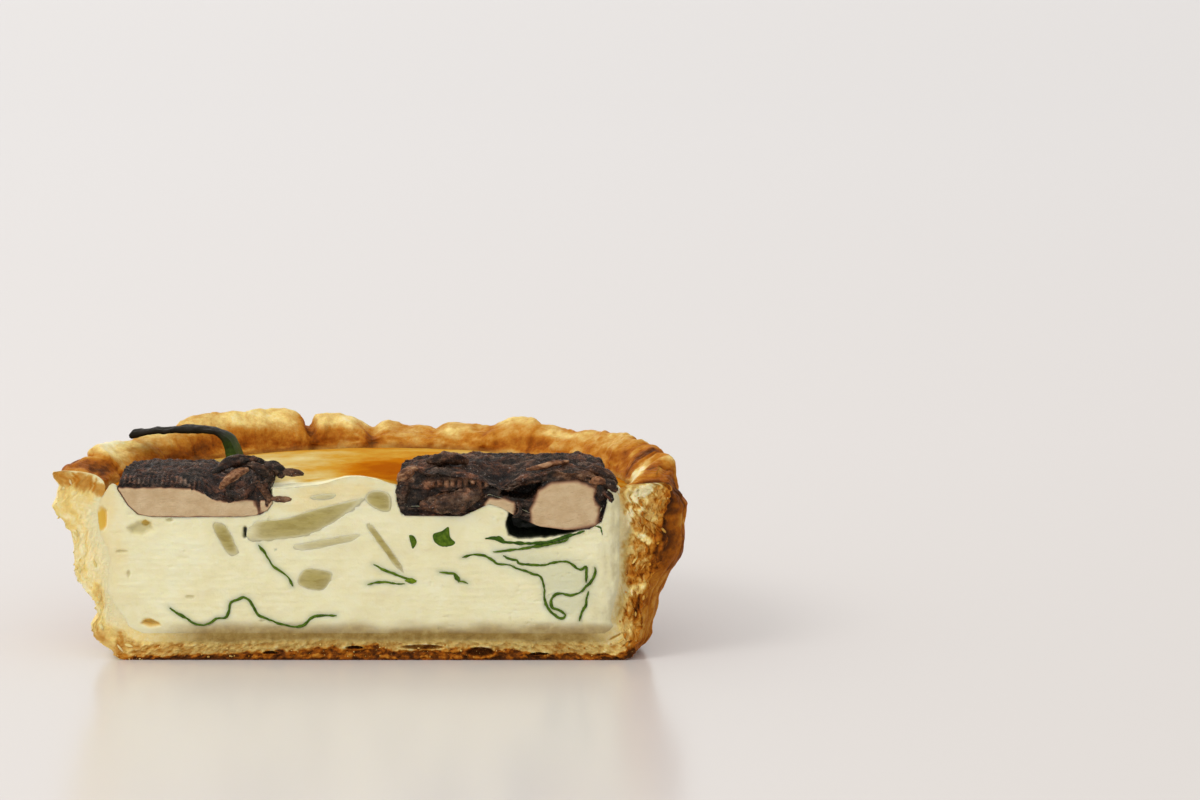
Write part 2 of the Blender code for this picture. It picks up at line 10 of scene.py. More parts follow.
import bmesh
import bpy
import numpy as np
from mathutils import Euler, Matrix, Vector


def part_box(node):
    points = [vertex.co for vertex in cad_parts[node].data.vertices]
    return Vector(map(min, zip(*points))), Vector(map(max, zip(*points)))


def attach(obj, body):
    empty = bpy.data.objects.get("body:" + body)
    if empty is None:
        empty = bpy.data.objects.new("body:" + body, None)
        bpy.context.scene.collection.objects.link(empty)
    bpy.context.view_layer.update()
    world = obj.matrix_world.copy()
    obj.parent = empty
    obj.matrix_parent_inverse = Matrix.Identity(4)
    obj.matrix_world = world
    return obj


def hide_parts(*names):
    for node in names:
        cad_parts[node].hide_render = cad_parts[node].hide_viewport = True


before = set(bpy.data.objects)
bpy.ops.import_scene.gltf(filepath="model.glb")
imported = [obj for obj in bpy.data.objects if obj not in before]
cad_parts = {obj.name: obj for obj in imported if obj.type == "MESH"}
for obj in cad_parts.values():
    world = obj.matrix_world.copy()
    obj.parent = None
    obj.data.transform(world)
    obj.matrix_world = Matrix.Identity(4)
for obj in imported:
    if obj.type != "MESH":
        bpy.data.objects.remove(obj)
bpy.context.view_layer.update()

MM = 0.001
SEED = 17

# Where the cut's frame lies in the model's: two known pieces give it
WEDGE_LEFT = -14.6
ORIGIN = np.array((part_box("onion_wedge")[0][0] / MM - WEDGE_LEFT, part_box("custard")[0][1] / MM, 0.0))

# Camera: a long lens a little above the rim
LENS = 100.0
SENSOR_WIDTH = 36.0
CAMERA_DISTANCE = 618.1
CAMERA_AZIMUTH = math.radians(4.09)
CAMERA_HEIGHT = 147.6
CAMERA_PITCH = math.radians(9.0)
CAMERA_YAW = math.radians(0.15)

# Light: strength by direction (axis, from, to, strength there and there), and a soft key from the upper left
WORLD_COLOUR = (1.0, 0.972, 0.955)
WORLD_SIDES = (("X", -0.9, 0.9, 1.10, 0.70), ("Y", -0.9, 0.6, 1.08, 1.0), ("Z", -0.1, 0.8, 0.92, 1.04))
KEY_PLACE = (-0.60, -0.50, 0.80)
KEY_AIM = (0.0, 0.0, 0.02)
KEY_SIZE = 0.45
KEY_POWER = 3.0
KEY_COLOUR = (1.0, 0.985, 0.96)

TABLE_RADIUS = 6.0

# Crust
RIM_RADIUS = 58.5
BASE_RADIUS = 49.0
CRUST_HEIGHT = 35.0
OVERRUN = math.radians(7)
LEAN = 2.0
BASE_THICKNESS = 5.2
WALL_AT_BASE = 5.2
WALL_AT_RIM = 7.4
UNDERSIDE_INSET = 1.2
FLOOR_CORNER = 2.4
FLARE = 0.62
FLUTE_DEPTH = 1.6
END_FLUTE_DEPTH = 0.4
# Creases between the flutes: share of the way round from the right end of the cut to the left, and depth
CREASES = ((0, 0), (0.055, 0.5), (0.113, 0.7), (0.17, 0.2), (0.22, 0.3), (0.27, 0.1), (0.318, 0.3),
           (0.38, 0.5), (0.446, 0.4), (0.515, 0.8), (0.5845, 1.4), (0.655, 0.1), (0.7375, 0.4), (0.8, 0.2),
           (0.8775, 0.9), (0.94, 0.4), (1, 0))
# Height of the rim's crest along the same way
CREST = ((0, 34.3), (0.035, 35.4), (0.08, 36.4), (0.113, 36.9), (0.158, 37.2), (0.21, 37.1), (0.25, 36.7),
         (0.29, 36.3), (0.314, 36.7), (0.336, 37.8), (0.363, 37), (0.38, 35.6), (0.4, 35.4), (0.432, 35.3),
         (0.446, 34.3), (0.485, 34.3), (0.4975, 35), (0.512, 34.1), (0.5215, 34.7), (0.536, 36.5),
         (0.55, 37.4), (0.574, 37.2), (0.5845, 35.6), (0.591, 37.4), (0.607, 38.5), (0.632, 38.9),
         (0.6685, 39), (0.7045, 38.7), (0.7375, 37.6), (0.76, 36.3), (0.805, 36.1), (0.84, 36.3),
         (0.872, 36.8), (0.88, 35.3), (0.9, 34.9), (0.94, 34), (0.965, 34.4), (0.985, 35.6), (1, 36.4))
CREST_INSET = 2.7
OUTER_HEIGHTS = (0, 0.9, 4, 9, 14.5, 20, 25.5, 29.5, 32.5)
INNER_HEIGHTS = (5.2, 6.6, 9.5, 13, 17.5, 22, 26.5, 30.8, 32.6)
CUSTARD_EDGE = 30.8
SHELL_COLUMNS = 640
OUTSIDE_STEP = 0.40
CREST_STEP = 0.26
HIDDEN_STEP = 2.0
# Browner and paler places on the rim: (share of the way round, height, half width, half height, change of
# bake, and 1 for its outside only, -1 for its inside only or 0 for both)
RIM_PATCHES = ((0.905, 34.4, 0.036, 2.2, 0.4, 0), (0.855, 36.5, 0.04, 3, -0.2, 0),
              (0.74, 33.5, 0.07, 3, 0.2, -1), (0.635, 38.5, 0.05, 3, -0.16, 0),
              (0.56, 37, 0.03, 2.5, -0.1, 0), (0.6, 33.5, 0.06, 2.4, 0.16, -1),
              (0.51, 33.5, 0.02, 2.5, 0.18, -1), (0.47, 34.5, 0.03, 2, 0.1, -1),
              (0.43, 34.5, 0.03, 2.5, -0.06, 0), (0.35, 37.2, 0.03, 2.5, -0.12, 0),
              (0.28, 34, 0.05, 2.5, 0.1, -1), (0.23, 36.5, 0.05, 3.5, 0.02, 0),
              (0.155, 36.8, 0.03, 3, 0.08, 0), (0.115, 36, 0.025, 3, 0.16, 0),
              (0.05, 34.6, 0.052, 4.4, -0.56, -1), (0.025, 34, 0.04, 4.5, 0.26, 1))
# A lump on the rim: share of the way round, height, half width, half height, how far it stands out
RIM_LUMP = (0.046, 34, 0.016, 1.7, 1)
# How far the torn edge of the cut stands out from the even wall: (height, outward)
LEFT_EDGE = ((0, 0.3), (2.1, -0.3), (3.9, 1.6), (6.5, 1.6), (8.6, -0.6), (11.2, -1), (14.1, 0.5), (17.3, 1),
             (21.7, -0.4), (24.6, -0.5), (27.5, 0.9), (29.3, 1.85), (31, 0.35), (33.6, -0.55), (36, 0.9),
             (38, 0.9))
RIGHT_EDGE = ((0, -0.6), (1.2, -1.1), (4.1, -1.2), (7, -1.6), (9.1, -2.2), (12.6, -1.9), (15.7, -1.2),
              (19.2, -0.2), (22.5, 0.4), (25.6, -0.3), (28.3, -0.5), (31.1, 0.1), (38, 0))
# The same for the inner edge of the cut wall, outward again
LEFT_INNER_EDGE = ((5, 0), (8, 0), (12.4, 2.2), (16.5, 1.2), (20.6, -0.3), (24.6, 1), (29.5, 0.4), (31.5, -1),
                   (33.5, -2.6), (38, -3))
RIGHT_INNER_EDGE = ((5, 0), (8, -2), (14.5, -1.2), (22, -1.8), (29, -2.3), (31, -2.6), (34, -2.9), (38, -2.9))
# How far the roll just behind the right end of the cut stands out: (height, outward)
RIGHT_ROLL = ((0, -0.2), (1.2, 0.2), (3.8, 1.1), (6.7, 1), (8.8, 1.5), (11, 1.2), (13.5, 1.3), (17.2, 2.6),
              (19.9, 3.3), (22.2, 3), (26.3, 2.8), (29.2, 3.3), (31, 1.8), (32, 0.2), (33.7, -1), (35, -1),
              (38, 0))
RIGHT_REACH = 5.0
LEFT_REACH = 13.0
ROLL_MIDDLE = 5.2
ROLL_REACH = 4.2
CREASE_WIDTH = 0.0065
CUT_WALL_LENGTH = 38.0
CUT_FLOOR_LENGTH = 98.0
CUT_STEP = 0.17
CUT_ROWS = 50
ROW_SPACING = 3.6  # height that one row of the controls counts for on the rolled-out wall
LUMP_DEPTH = 0.55
SKIN_DEPTH = 0.22
BLISTER_DEPTH = 0.55
FOLD_DEPTH = 0.32
# Spots on the cut crust: (x, z, half length, half width, turn, change of bake, how far it stands out)
CRUST_SPOTS = (
    (47.6, 27.0, 2.9, 0.9, 1.25, -0.42, 0.30),
    (50.9, 23.6, 1.8, 0.8, -0.45, -0.36, 0.35),
    (50.6, 29.6, 2.2, 0.5, 1.1, -0.20, 0.20),
    (52.6, 19.6, 2.4, 0.5, 1.3, 0.20, -0.20),
    (50.2, 32.2, 3.0, 1.2, 0.6, -0.34, 0.25),
    (49.5, 13.8, 1.4, 1.2, 0.3, -0.24, 0.20),
    (54.7, 26.0, 3.6, 0.5, 1.5, 0.32, -0.30),
    (47.3, 16.5, 2.0, 0.45, 1.25, 0.22, -0.15),
    (49.4, 9.5, 3.2, 0.5, 1.4, 0.26, -0.20),
    (45.5, 4.6, 1.5, 0.25, 0.5, 0.34, -0.30),
    (47.6, 3.2, 1.2, 0.2, 0.6, 0.34, -0.25),
    (49.0, 1.2, 1.8, 1.3, 0.5, 0.30, 0.0),
    (-58.7, 35.2, 2.8, 1.6, -0.1, 0.20, 0.0),
    (-54.7, 34.4, 2.4, 1.8, -0.2, 0.32, 0.10),
    (-51.4, 32.8, 2.2, 1.6, -0.6, 0.26, 0.0),
    (-48.5, 3.0, 2.8, 0.8, 1.5, 0.16, -0.05),
    (-52.0, 12.5, 2.5, 1.2, -1.1, 0.12, 0.10),
)
# Thickness of the browned layer under the base along the cut: places, thickness
BROWN_BASE = ((-50, -40, -30, -15, -5, 10, 25, 35, 44, 50),
              (0.9, 0.9, 1.4, 1.8, 2.6, 2.7, 2.2, 1.3, 1.3, 2.2))
# Flat bubbles in the base: (middle, half length, height, half height)
BLISTERS = ((8.8, 4.2, 2.5, 0.55), (19.8, 2.9, 1.6, 1), (-4, 1.9, 2.4, 0.4), (31, 2, 1.2, 0.35),
            (-20, 1.6, 1.4, 0.35))

# Crumbs on the cut crust: how many, from and to as shares of the way from the right crest round the base to
# the left crest, how far in through the crust, and their bake
CRUMB_BANDS = (
    (390, 0.27, 0.73, 0.10, 0.60, 0.22, 0.64),
    (130, 0.02, 0.27, 0.05, 0.75, 0.22, 0.64),
    (60, 0.74, 0.98, 0.05, 0.75, 0.10, 0.22),
    (150, 0.76, 0.99, -0.04, 0.05, 0.12, 0.30),
)

FLAKE_COUNT = 46
FLAKES_AT_RIGHT = 0.6  # share of them on the right-hand wall
FLAKE_THICKNESS = 0.16

# Custard
MIDDLE_HEIGHT = 33.0
MOUND = (-3.5, 2.2, 7.0, 9.0)
# Where it rises against the crust at the two ends of the cut: (place, rise, half length, half depth)
END_RISES = ((-49.4, 2.6, 1.5, 5), (45.4, 2.8, 1.8, 6))
TOP_RIPPLE = 0.45
SEAT_RISE = 1.8  # how far the custard goes on up behind the cut of a mushroom
FACE_LENGTH = 104.0
FACE_HEIGHT = 29.0
FACE_STEP = 0.22
FACE_SPREAD = 0.72  # below 1 the columns lie more evenly, at 1 they crowd at the crust
TOP_COLUMNS = 460
TOP_RINGS = ((1.0, 0.30, 95), (0.29, 0.0, 22))  # from the crust in: first share, last share, number
WALL_COLUMNS = 120

# Mushrooms, as on the cut
LEFT_CAP = {
    "middle": -33.8,
    "half_length": 14.6,
    "depth": 20,
    "back_height": 34.5,
    "under": ((-48.4, 33), (-47.4, 31.4), (-46.5, 29.9), (-44.6, 28.1), (-42, 27.7), (-38, 27.6),
              (-24.5, 27.7), (-21.5, 28.1), (-20.1, 29), (-19.2, 30.2)),
    "over": ((-48.4, 33.2), (-47, 33.8), (-36.5, 33.6), (-33, 32.8), (-30, 30.8), (-26.5, 30.6),
             (-24.5, 31.6), (-22, 33.6), (-20, 33.2), (-19.2, 30.4)),
    "lump": (-21.5, 6, 2, 4.2),
}
RIGHT_CAP = {
    "middle": 24,
    "half_length": 19.8,
    "depth": 18,
    "back_height": 36.6,
    "under": ((4.2, 31), (4.9, 28.6), (5.8, 27.9), (16.5, 27.8), (19.2, 29), (21.6, 30.2), (24, 29.4),
              (27, 27.6), (31, 25.9), (36, 25.2), (40.5, 25.3), (42.8, 26.8), (43.8, 30.5)),
    "over": ((4.2, 32.6), (4.8, 35.8), (7, 36.2), (12, 35.8), (18, 35.2), (22, 33.4), (25, 32.2), (28, 33.8),
             (32, 35.6), (38, 36), (42, 34.6), (43.8, 31)),
    "lump": (33, 9, 0.8, 8),
}
# Where the pale flesh of the left mushroom ends at its top, and where its skin is at the left: (x, z), (z, x)
LEFT_FLESH_TOP = ((-48.4, 33.6), (-46, 33.4), (-38, 33.5), (-34.5, 33.2), (-31.5, 32.2), (-29.5, 31),
                  (-27, 30.7), (-24, 31.2), (-19.2, 31))
LEFT_SKIN = ((27.6, -38), (27.7, -42), (28.1, -44.6), (29.9, -46.5), (31.4, -47.4), (33, -48.4))
# Outlines of the two pale patches on the right mushroom's cut, and of the hollow between them, which is
# painted near black as shade
FIRST_FLESH = ((19.5, 28.6), (21.5, 31.2), (24.4, 31.2), (26.4, 30.4), (26.8, 29), (25.6, 27.6), (23.5, 26.6),
               (21, 28))
SECOND_FLESH = ((29.6, 25.6), (29.2, 29), (30.8, 32.6), (33.5, 34.3), (38.5, 34.6), (41.6, 33.2),
                (42.6, 29.5), (41.8, 26), (36, 25))
SHADED_HOLLOW = ((23.4, 31.9), (25, 34.5), (30.5, 36.5), (31.6, 33.8), (29.6, 31))
# Twisted strands on the mushrooms: (points, radius, how tan, seed)
LEFT_STRANDS = (
    (((-29.0, 0.2, 33.0), (-27.8, -0.2, 34.4), (-26.0, 0.0, 35.8), (-23.6, 0.6, 36.6)), 0.85, 0.85, 201),
    (((-28.0, 0.6, 32.2), (-25.6, 0.1, 31.8), (-23.4, 0.4, 33.0), (-22.0, 1.0, 35.0)), 0.95, 0.0, 203),
    (((-24.0, 1.2, 37.4), (-21.5, 1.0, 36.8), (-19.8, 1.4, 35.2), (-20.6, 0.8, 33.6)), 1.0, 0.05, 205),
    (((-21.2, 1.4, 36.2), (-19.4, 1.2, 37.2), (-17.6, 1.4, 36.2), (-17.8, 1.2, 34.8)), 1.0, 0.0, 207),
    (((-18.6, 1.6, 35.4), (-16.8, 1.4, 35.9), (-14.6, 1.6, 35.7), (-13.4, 1.8, 35.4)), 0.75, 0.25, 209),
    (((-22.4, 0.4, 34.4), (-21.0, 0.1, 33.0), (-20.0, 0.2, 31.2), (-20.6, 0.4, 29.4)), 0.75, 0.30, 211),
    (((-21.0, 0.4, 31.6), (-19.0, 0.1, 31.2), (-17.0, 0.2, 31.0), (-14.8, 0.4, 30.6)), 0.60, 0.40, 213),
    (((-30.6, 0.8, 35.8), (-27.6, 1.2, 37.6), (-24.2, 2.0, 38.2), (-21.0, 3.0, 37.6)), 1.0, 0.0, 215),
)
RIGHT_STRANDS = (
    (((8.6, 0.6, 30.2), (11.4, 0.0, 30.2), (15.0, -0.1, 30.5), (18.0, 0.1, 31.4), (20.4, 0.5, 32.4)),
     1.95, 0.16, 221),
    (((5.4, 0.8, 29.2), (5.2, 0.3, 31.4), (5.6, 0.4, 33.6), (6.4, 0.8, 35.8)), 1.1, 0.05, 223),
    (((4.5, 0.7, 34.2), (5.2, 0.2, 35.3), (6.4, 0.3, 36.2), (8.2, 0.9, 36.9)), 0.85, 0.75, 241),
    (((36.6, 1.2, 36.0), (38.8, 0.8, 35.6), (40.8, 0.9, 35.2), (42.4, 1.2, 34.0)), 1.1, 0.40, 225),
    (((41.2, 1.0, 34.4), (42.8, 0.8, 33.2), (42.6, 0.9, 31.6), (43.0, 1.2, 30.2)), 1.2, 0.0, 227),
    (((39.6, 2.2, 36.2), (42.0, 1.8, 36.1), (44.0, 1.6, 35.2), (45.6, 1.6, 33.6)), 1.15, 0.10, 243),
    (((40.4, 0.5, 34.2), (41.8, 0.0, 34.6), (43.2, 0.1, 34.3), (44.0, 0.5, 33.6)), 0.72, 0.95, 245),
    (((41.6, 1.0, 33.8), (43.4, 0.5, 34.1), (45.0, 0.5, 33.2), (46.2, 0.9, 32.0)), 0.95, 0.05, 237),
    (((42.2, 0.8, 32.4), (43.6, 0.3, 32.2), (44.6, 0.3, 31.2), (44.9, 0.7, 30.0)), 0.75, 0.0, 239),
    (((28.6, 1.6, 36.4), (31.4, 1.4, 37.0), (34.2, 1.8, 37.6), (36.6, 2.6, 37.8)), 0.62, 0.95, 229),
    (((26.6, 0.2, 30.6), (27.4, -0.2, 29.4), (27.0, -0.2, 28.2), (26.0, 0.1, 27.6)), 0.42, 0.0, 231),
    (((9.6, 5.0, 37.4), (12.0, 4.6, 38.0), (15.0, 4.8, 38.0), (17.6, 5.4, 37.4)), 1.25, 0.12, 233),
    (((24.6, 1.2, 33.2), (28.0, 0.8, 34.6), (31.0, 0.8, 34.9), (34.6, 0.9, 35.2)), 0.9, 0.05, 235),
)
CAP_COLUMNS = 210
CAP_ROWS = 110
CAP_FACE_ROWS = 40
LEVEL_DEPTH = 5.5

# Spinach, as the lines that it draws on the cut
SHREDS = {
    "spinach_long": ((-39, 10), (-37.3, 8.9), (-35.7, 8), (-34.4, 7), (-32.5, 6.8), (-31.2, 7.2), (-30.2, 8),
                     (-28.4, 8.3), (-27.8, 9.4), (-27.4, 11.1), (-25.9, 11.7), (-24.9, 12.1), (-23.7, 11.4),
                     (-22.9, 9.8), (-22.1, 8.7), (-20.3, 7.9), (-18.2, 7), (-15.6, 6.5), (-14, 6.6),
                     (-12.9, 7.4), (-11.9, 8.3), (-9.8, 8.6), (-7.4, 8.6)),
    "spinach_diagonal": ((-22, 22.2), (-21, 21), (-20.2, 19.7), (-19.3, 18.2), (-17.9, 17.2), (-16.4, 15.9),
                         (-15.6, 14.3)),
    "spinach_fork_upper": ((-0.3, 18.5), (1.8, 17.4), (3.9, 16.6), (5.5, 15.9), (7, 15.5)),
    "spinach_fork_lower": ((-1.5, 14.6), (0.2, 15), (2.1, 15.1), (3.9, 14.8), (5.6, 14.8)),
    "spinach_hook": ((12.1, 17), (13.4, 16.9), (15, 16.7), (15.6, 16.1), (15.8, 15.3), (16.6, 15.2),
                     (17.5, 14.8)),
    "spinach_cluster_1": ((16.5, 19.8), (18.8, 20.4), (21.1, 20), (23.1, 18.7), (24.9, 18.5), (26.9, 17.7),
                          (28.5, 17.2), (29.9, 16.6), (31.3, 16), (31.9, 14), (32, 12), (32.6, 10.1),
                          (34.1, 8.6), (35.4, 8.1), (36, 8.8)),
    "spinach_cluster_2": ((36, 8.8), (34.9, 9.6), (33.5, 10.2), (33.2, 11.4), (33.8, 12.5), (34.9, 12.9),
                          (37.1, 12.6), (38.8, 13.2), (39.8, 14.2), (40.8, 15.2), (41.5, 16.6), (41.5, 18)),
    "spinach_cluster_3": ((24.2, 20.2), (25.3, 19.6), (26.8, 19.3), (27.5, 18.6), (31.6, 18.4), (33.8, 18.9),
                          (36, 19.1), (37.1, 18.6), (38.2, 17.7), (39, 17.6), (39.8, 18), (39.9, 16.6),
                          (39.8, 15)),
    "spinach_cluster_4": ((22.3, 20.9), (24.4, 21.1), (26.9, 21.4), (30.5, 22), (33.2, 22.4), (35.7, 23),
                          (36.6, 23.7)),
    "spinach_cluster_5": ((40.3, 13.4), (39.9, 11.8), (39.8, 10.7), (39, 9.2), (38.6, 7.6)),
}
# The part of the cut that the cluster of leaf tints green
CLUSTER = ((22, 22), (33, 21), (41, 19), (42, 12), (38, 8), (33, 8), (31, 15), (22, 19))
# Further bits of leaf that belong to a shred: (shred, line, thickness, front, back, seed, how bright)
SHRED_BITS = (
    ("spinach_cluster_4", ((20.8, 23.5), (22.6, 23.6), (24.6, 22.8), (29.1, 22.6), (32.6, 22.8), (36.0, 23.8),
                           (39.6, 25.0)), 0.65, -0.15, 6.0, 371, 0.0),
    ("spinach_cluster_4", ((22.4, 23.5), (23.4, 23.6), (24.4, 23.2)), 1.1, -0.12, 2.0, 379, 0.1),
    ("spinach_cluster_4", ((41.4, 25.9), (42.6, 25.6), (42.9, 24.2)), 0.35, -0.15, 2.0, 373, 0.0),
    ("spinach_fork_upper", ((5.6, 15.4), (6.7, 15.3), (7.8, 15.2)), 1.0, -0.12, 2.0, 375, 0.9),
    ("spinach_hook", ((14.9, 16.5), (15.6, 15.7), (15.9, 15.1)), 1.0, -0.15, 2.0, 377, 0.15),
)
SHRED_THICKNESS = 0.48
SHRED_FRONT = -0.12
SHRED_BACK = 3.5
SCRAPS = {
    "spinach_fold": ((11.3, 24.2), (12.7, 24.7), (13.8, 25.4), (14.1, 23.9), (15.1, 22.6), (14.4, 22.1),
                     (12.7, 22.1), (11.5, 22.9)),
    "spinach_dot": ((6.5, 23.9), (7.3, 23.7), (7.8, 22.6), (7.2, 21.7), (6.8, 22.6)),
}
TOP_LEAF = ((-50.3, 38.2), (-49.1, 38.4), (-46.1, 38.9), (-43, 39.1), (-39.8, 39.3), (-37.2, 39.3),
            (-34.9, 39.1), (-33, 38.6), (-31.6, 37.7), (-30.8, 36.2), (-30.3, 34.5), (-29.9, 32.6))
TOP_LEAF_FRONT = 30.0
TOP_LEAF_BACK = 34.5

# Onion outlines
ONIONS = {
    "onion_band": ((-23.1, 25.2), (-22.1, 26.6), (-17.1, 27.2), (-12.2, 28.8), (-6.8, 30.2), (-2.6, 30.9),
                   (-4.7, 28.7), (-8.1, 26.3), (-12.2, 24.4), (-17.1, 23.5), (-22.5, 23.3)),
    "onion_crescent": ((-15.4, 22), (-12, 22.9), (-8.6, 23.5), (-3, 24.3), (-3.6, 23.3), (-7.1, 22.3),
                       (-10.9, 21.5), (-13.9, 21.2)),
    "onion_rod_left": ((-30.6, 26), (-28.1, 26), (-25.9, 21), (-27.8, 20.6)),
    "onion_wedge": ((-14.6, 15.3), (-13.1, 17.6), (-9.4, 17.3), (-8.1, 16.5), (-9.8, 13.6), (-13.1, 13.9)),
    "onion_rod_right": ((-1.3, 25.4), (-0.4, 26), (5.1, 18.2), (4.5, 17.5)),
    "onion_block": ((-1.4, 32), (0, 32.6), (1.8, 32.4), (2.9, 31.2), (2.8, 29), (1.5, 28.9), (-0.2, 29.6),
                    (-1.4, 30.6)),
    "onion_sliver": ((-12.2, 31.4), (-10.1, 31.9), (-7.5, 32), (-7.8, 31.3), (-10.1, 30.8)),
}

# Hollows of the cut custard: outline, depth
HOLLOWS = (
    (((24.6, 26.6), (25.4, 29.0), (26.8, 27.9), (29.4, 26.6), (32.6, 25.8), (36.8, 25.5), (40.5, 25.6),
      (36.8, 24.4), (32.2, 23.6), (27.0, 23.3), (25.2, 24.0)), 7.0),
    (((-47.0, 25.6), (-44.6, 26.9), (-42.0, 26.8), (-41.6, 25.0), (-43.6, 23.9), (-46.0, 24.2)), 0.8),
    (((-45.0, 7.0), (-44.0, 7.9), (-42.6, 8.1), (-41.0, 7.4), (-40.4, 6.6), (-42.6, 6.2)), 1.6),
)
# Bubbles that the knife opened: (x, z, half width, half height, depth, colour)
BUBBLES = (
    (-51.4, 27.2, 1.1, 2.7, 0.9, "yolk"),
    (-47.8, 21.0, 1.2, 0.30, 0.3, "olive"),
    (-46.6, 16.6, 0.4, 0.8, 0.25, "olive"),
    (-43.2, 26.4, 0.9, 0.6, 0.6, "yolk"),
    (-38.6, 27.0, 0.8, 0.45, 0.5, "olive"),
    (-24.5, 24.6, 0.45, 1.2, 1.2, "dark"),
    (-18.7, 21.3, 0.20, 0.30, 0.2, "leafy"),
    (-35.0, 12.2, 1.0, 0.4, 0.25, "olive"),
    (-21.5, 7.6, 0.5, 0.2, 0.25, "olive"),
)


def corner_values(cells, seed):
    """Repeatable numbers between -1 and 1, one for each corner of a grid of cells."""
    mix = cells[..., 0] * 374761393 + cells[..., 1] * 668265263 + cells[..., 2] * 974634777 + seed * 362437
    mix = (mix ^ (mix >> 13)) & 0xFFFFFFFF
    mix = (mix * 1274126177) & 0xFFFFFFFF
    mix = mix ^ (mix >> 16)
    return (mix & 0xFFFFFF) / 0x7FFFFF - 1.0


def noise(places, size, seed):
    """Smooth noise between -1 and 1 at places (..., 3), with humps of about this size."""
    scaled = np.asarray(places, dtype=float) / size + 0.37 * seed
    cells = np.floor(scaled).astype(np.int64)
    part = scaled - cells
    ease = part * part * (3 - 2 * part)
    total = 0.0
    for corner in product((0, 1), repeat=3):
        weight = 1.0
        for axis in range(3):
            weight = weight * (ease[..., axis] if corner[axis] else 1 - ease[..., axis])
        total = total + weight * corner_values(cells + np.array(corner), seed)
    return total


def layered(places, size, seed, octaves=4, fade=0.5):
    """Noise with ever finer noise on top of it."""
    total = 0.0
    strength = 1.0
    for octave in range(octaves):
        total = total + strength * noise(places, np.asarray(size) / 2**octave, seed + 7 * octave)
        strength *= fade
    return total


def ridged(places, size, seed, octaves=4, fade=0.5):
    """Noise of sharp ridges, from 0 in the troughs to about 1 on the crests."""
    total = 0.0
    strength = 1.0
    whole = 0.0
    for octave in range(octaves):
        fine = noise(places, np.asarray(size) / 2**octave, seed + 7 * octave)
        total = total + strength * (1 - np.abs(fine)) ** 2
        whole += strength
        strength *= fade
    return total / whole


def chips(places, size, seed):
    """Splits a plane into uneven chips: a number for each, and how near its edge is."""
    scaled = places[..., :2] / np.asarray(size, dtype=float)
    cells = np.floor(scaled).astype(np.int64)
    nearest = np.full(scaled.shape[:-1], 9.0)
    second = nearest.copy()
    mark = np.zeros_like(nearest)
    for step in product((-1, 0, 1), repeat=2):
        here = cells + np.array(step)
        corner = np.concatenate((here, 0 * here[..., :1]), axis=-1)
        shift = np.stack((corner_values(corner, seed), corner_values(corner, seed + 1)), axis=-1)
        reach = np.linalg.norm(scaled - here - 0.5 - 0.42 * shift, axis=-1)
        closer = reach < nearest
        second = np.where(closer, nearest, np.minimum(second, reach))
        mark = np.where(closer, corner_values(corner, seed + 2), mark)
        nearest = np.minimum(nearest, reach)
    return mark, second - nearest


def at(*axes):
    """Places from separate axes, which may be single numbers."""
    return np.stack(np.broadcast_arrays(*[np.asarray(axis, dtype=float) for axis in axes]), axis=-1)


def smooth_step(low, high, value):
    share = np.clip((np.asarray(value, dtype=float) - low) / (high - low), 0.0, 1.0)
    return share * share * (3 - 2 * share)


def bump_at(value, middle, half_width):
    """1 at the middle, falling smoothly to 0."""
    return np.exp(-(((np.asarray(value, dtype=float) - middle) / half_width) ** 2))


def spot_at(x, z, middle_x, middle_z, half_length, half_width, turn, wobble=0.0):
    """1 inside a soft oval on the cut, falling to 0 outside it."""
    along = (x - middle_x) * math.cos(turn) + (z - middle_z) * math.sin(turn)
    over = (z - middle_z) * math.cos(turn) - (x - middle_x) * math.sin(turn)
    return smooth_step(1.25, 0.6, np.hypot(along / half_length, over / half_width) + wobble)


def smooth_between(before, start, end, after, share):
    """The smooth curve from start to end, given the points before and after them."""
    return 0.5 * (
        2 * start
        + (end - before) * share
        + (2 * before - 5 * start + 4 * end - after) * share**2
        + (3 * start - before - 3 * end + after) * share**3
    )


def curve_through(points, step, closed=False):
    """A smooth line through points, with a place about every step."""
    points = np.asarray(points, dtype=float)
    if closed:
        padded = np.vstack((points[-1:], points, points[:2]))
    else:
        padded = np.vstack((2 * points[0] - points[1], points, 2 * points[-1] - points[-2]))
    line = []
    for i in range(1, len(padded) - 2):
        before, start, end, after = padded[i - 1 : i + 3]
        count = max(2, int(round(np.linalg.norm(end - start) / step)))
        line.append(smooth_between(before, start, end, after, (np.arange(count) / count)[:, None]))
    if not closed:
        line.append(points[-1:])
    return np.vstack(line)


def distance_along(line):
    """How far along a line each of its points is."""
    return np.concatenate(([0.0], np.cumsum(np.linalg.norm(np.diff(line, axis=0), axis=1))))


def resampled(line, count):
    """The same line with this many places, evenly spaced."""
    reach = distance_along(line)
    wanted = np.linspace(0.0, reach[-1], count)
    return np.stack([np.interp(wanted, reach, line[:, k]) for k in range(line.shape[1])], axis=-1)


def gap_to(x, z, start, end):
    """Distance to the straight line from start to end on the cut."""
    along = end - start
    share = np.clip(((x - start[0]) * along[0] + (z - start[1]) * along[1]) / (along @ along), 0, 1)
    return np.hypot(x - start[0] - share * along[0], z - start[1] - share * along[1])


def outline_distance(x, z, outline):
    """Distance to a closed outline, negative inside it."""
    points = np.asarray(outline, dtype=float)
    nearest = np.full(np.shape(x), np.inf)
    inside = np.zeros(np.shape(x), dtype=bool)
    for start, end in zip(points, np.roll(points, -1, axis=0)):
        nearest = np.minimum(nearest, gap_to(x, z, start, end))
        crosses = (start[1] > z) != (end[1] > z)
        with np.errstate(divide="ignore", invalid="ignore"):
            at_height = start[0] + (z - start[1]) / (end[1] - start[1]) * (end[0] - start[0])
        inside ^= crosses & (x < at_height)
    return np.where(inside, -nearest, nearest)


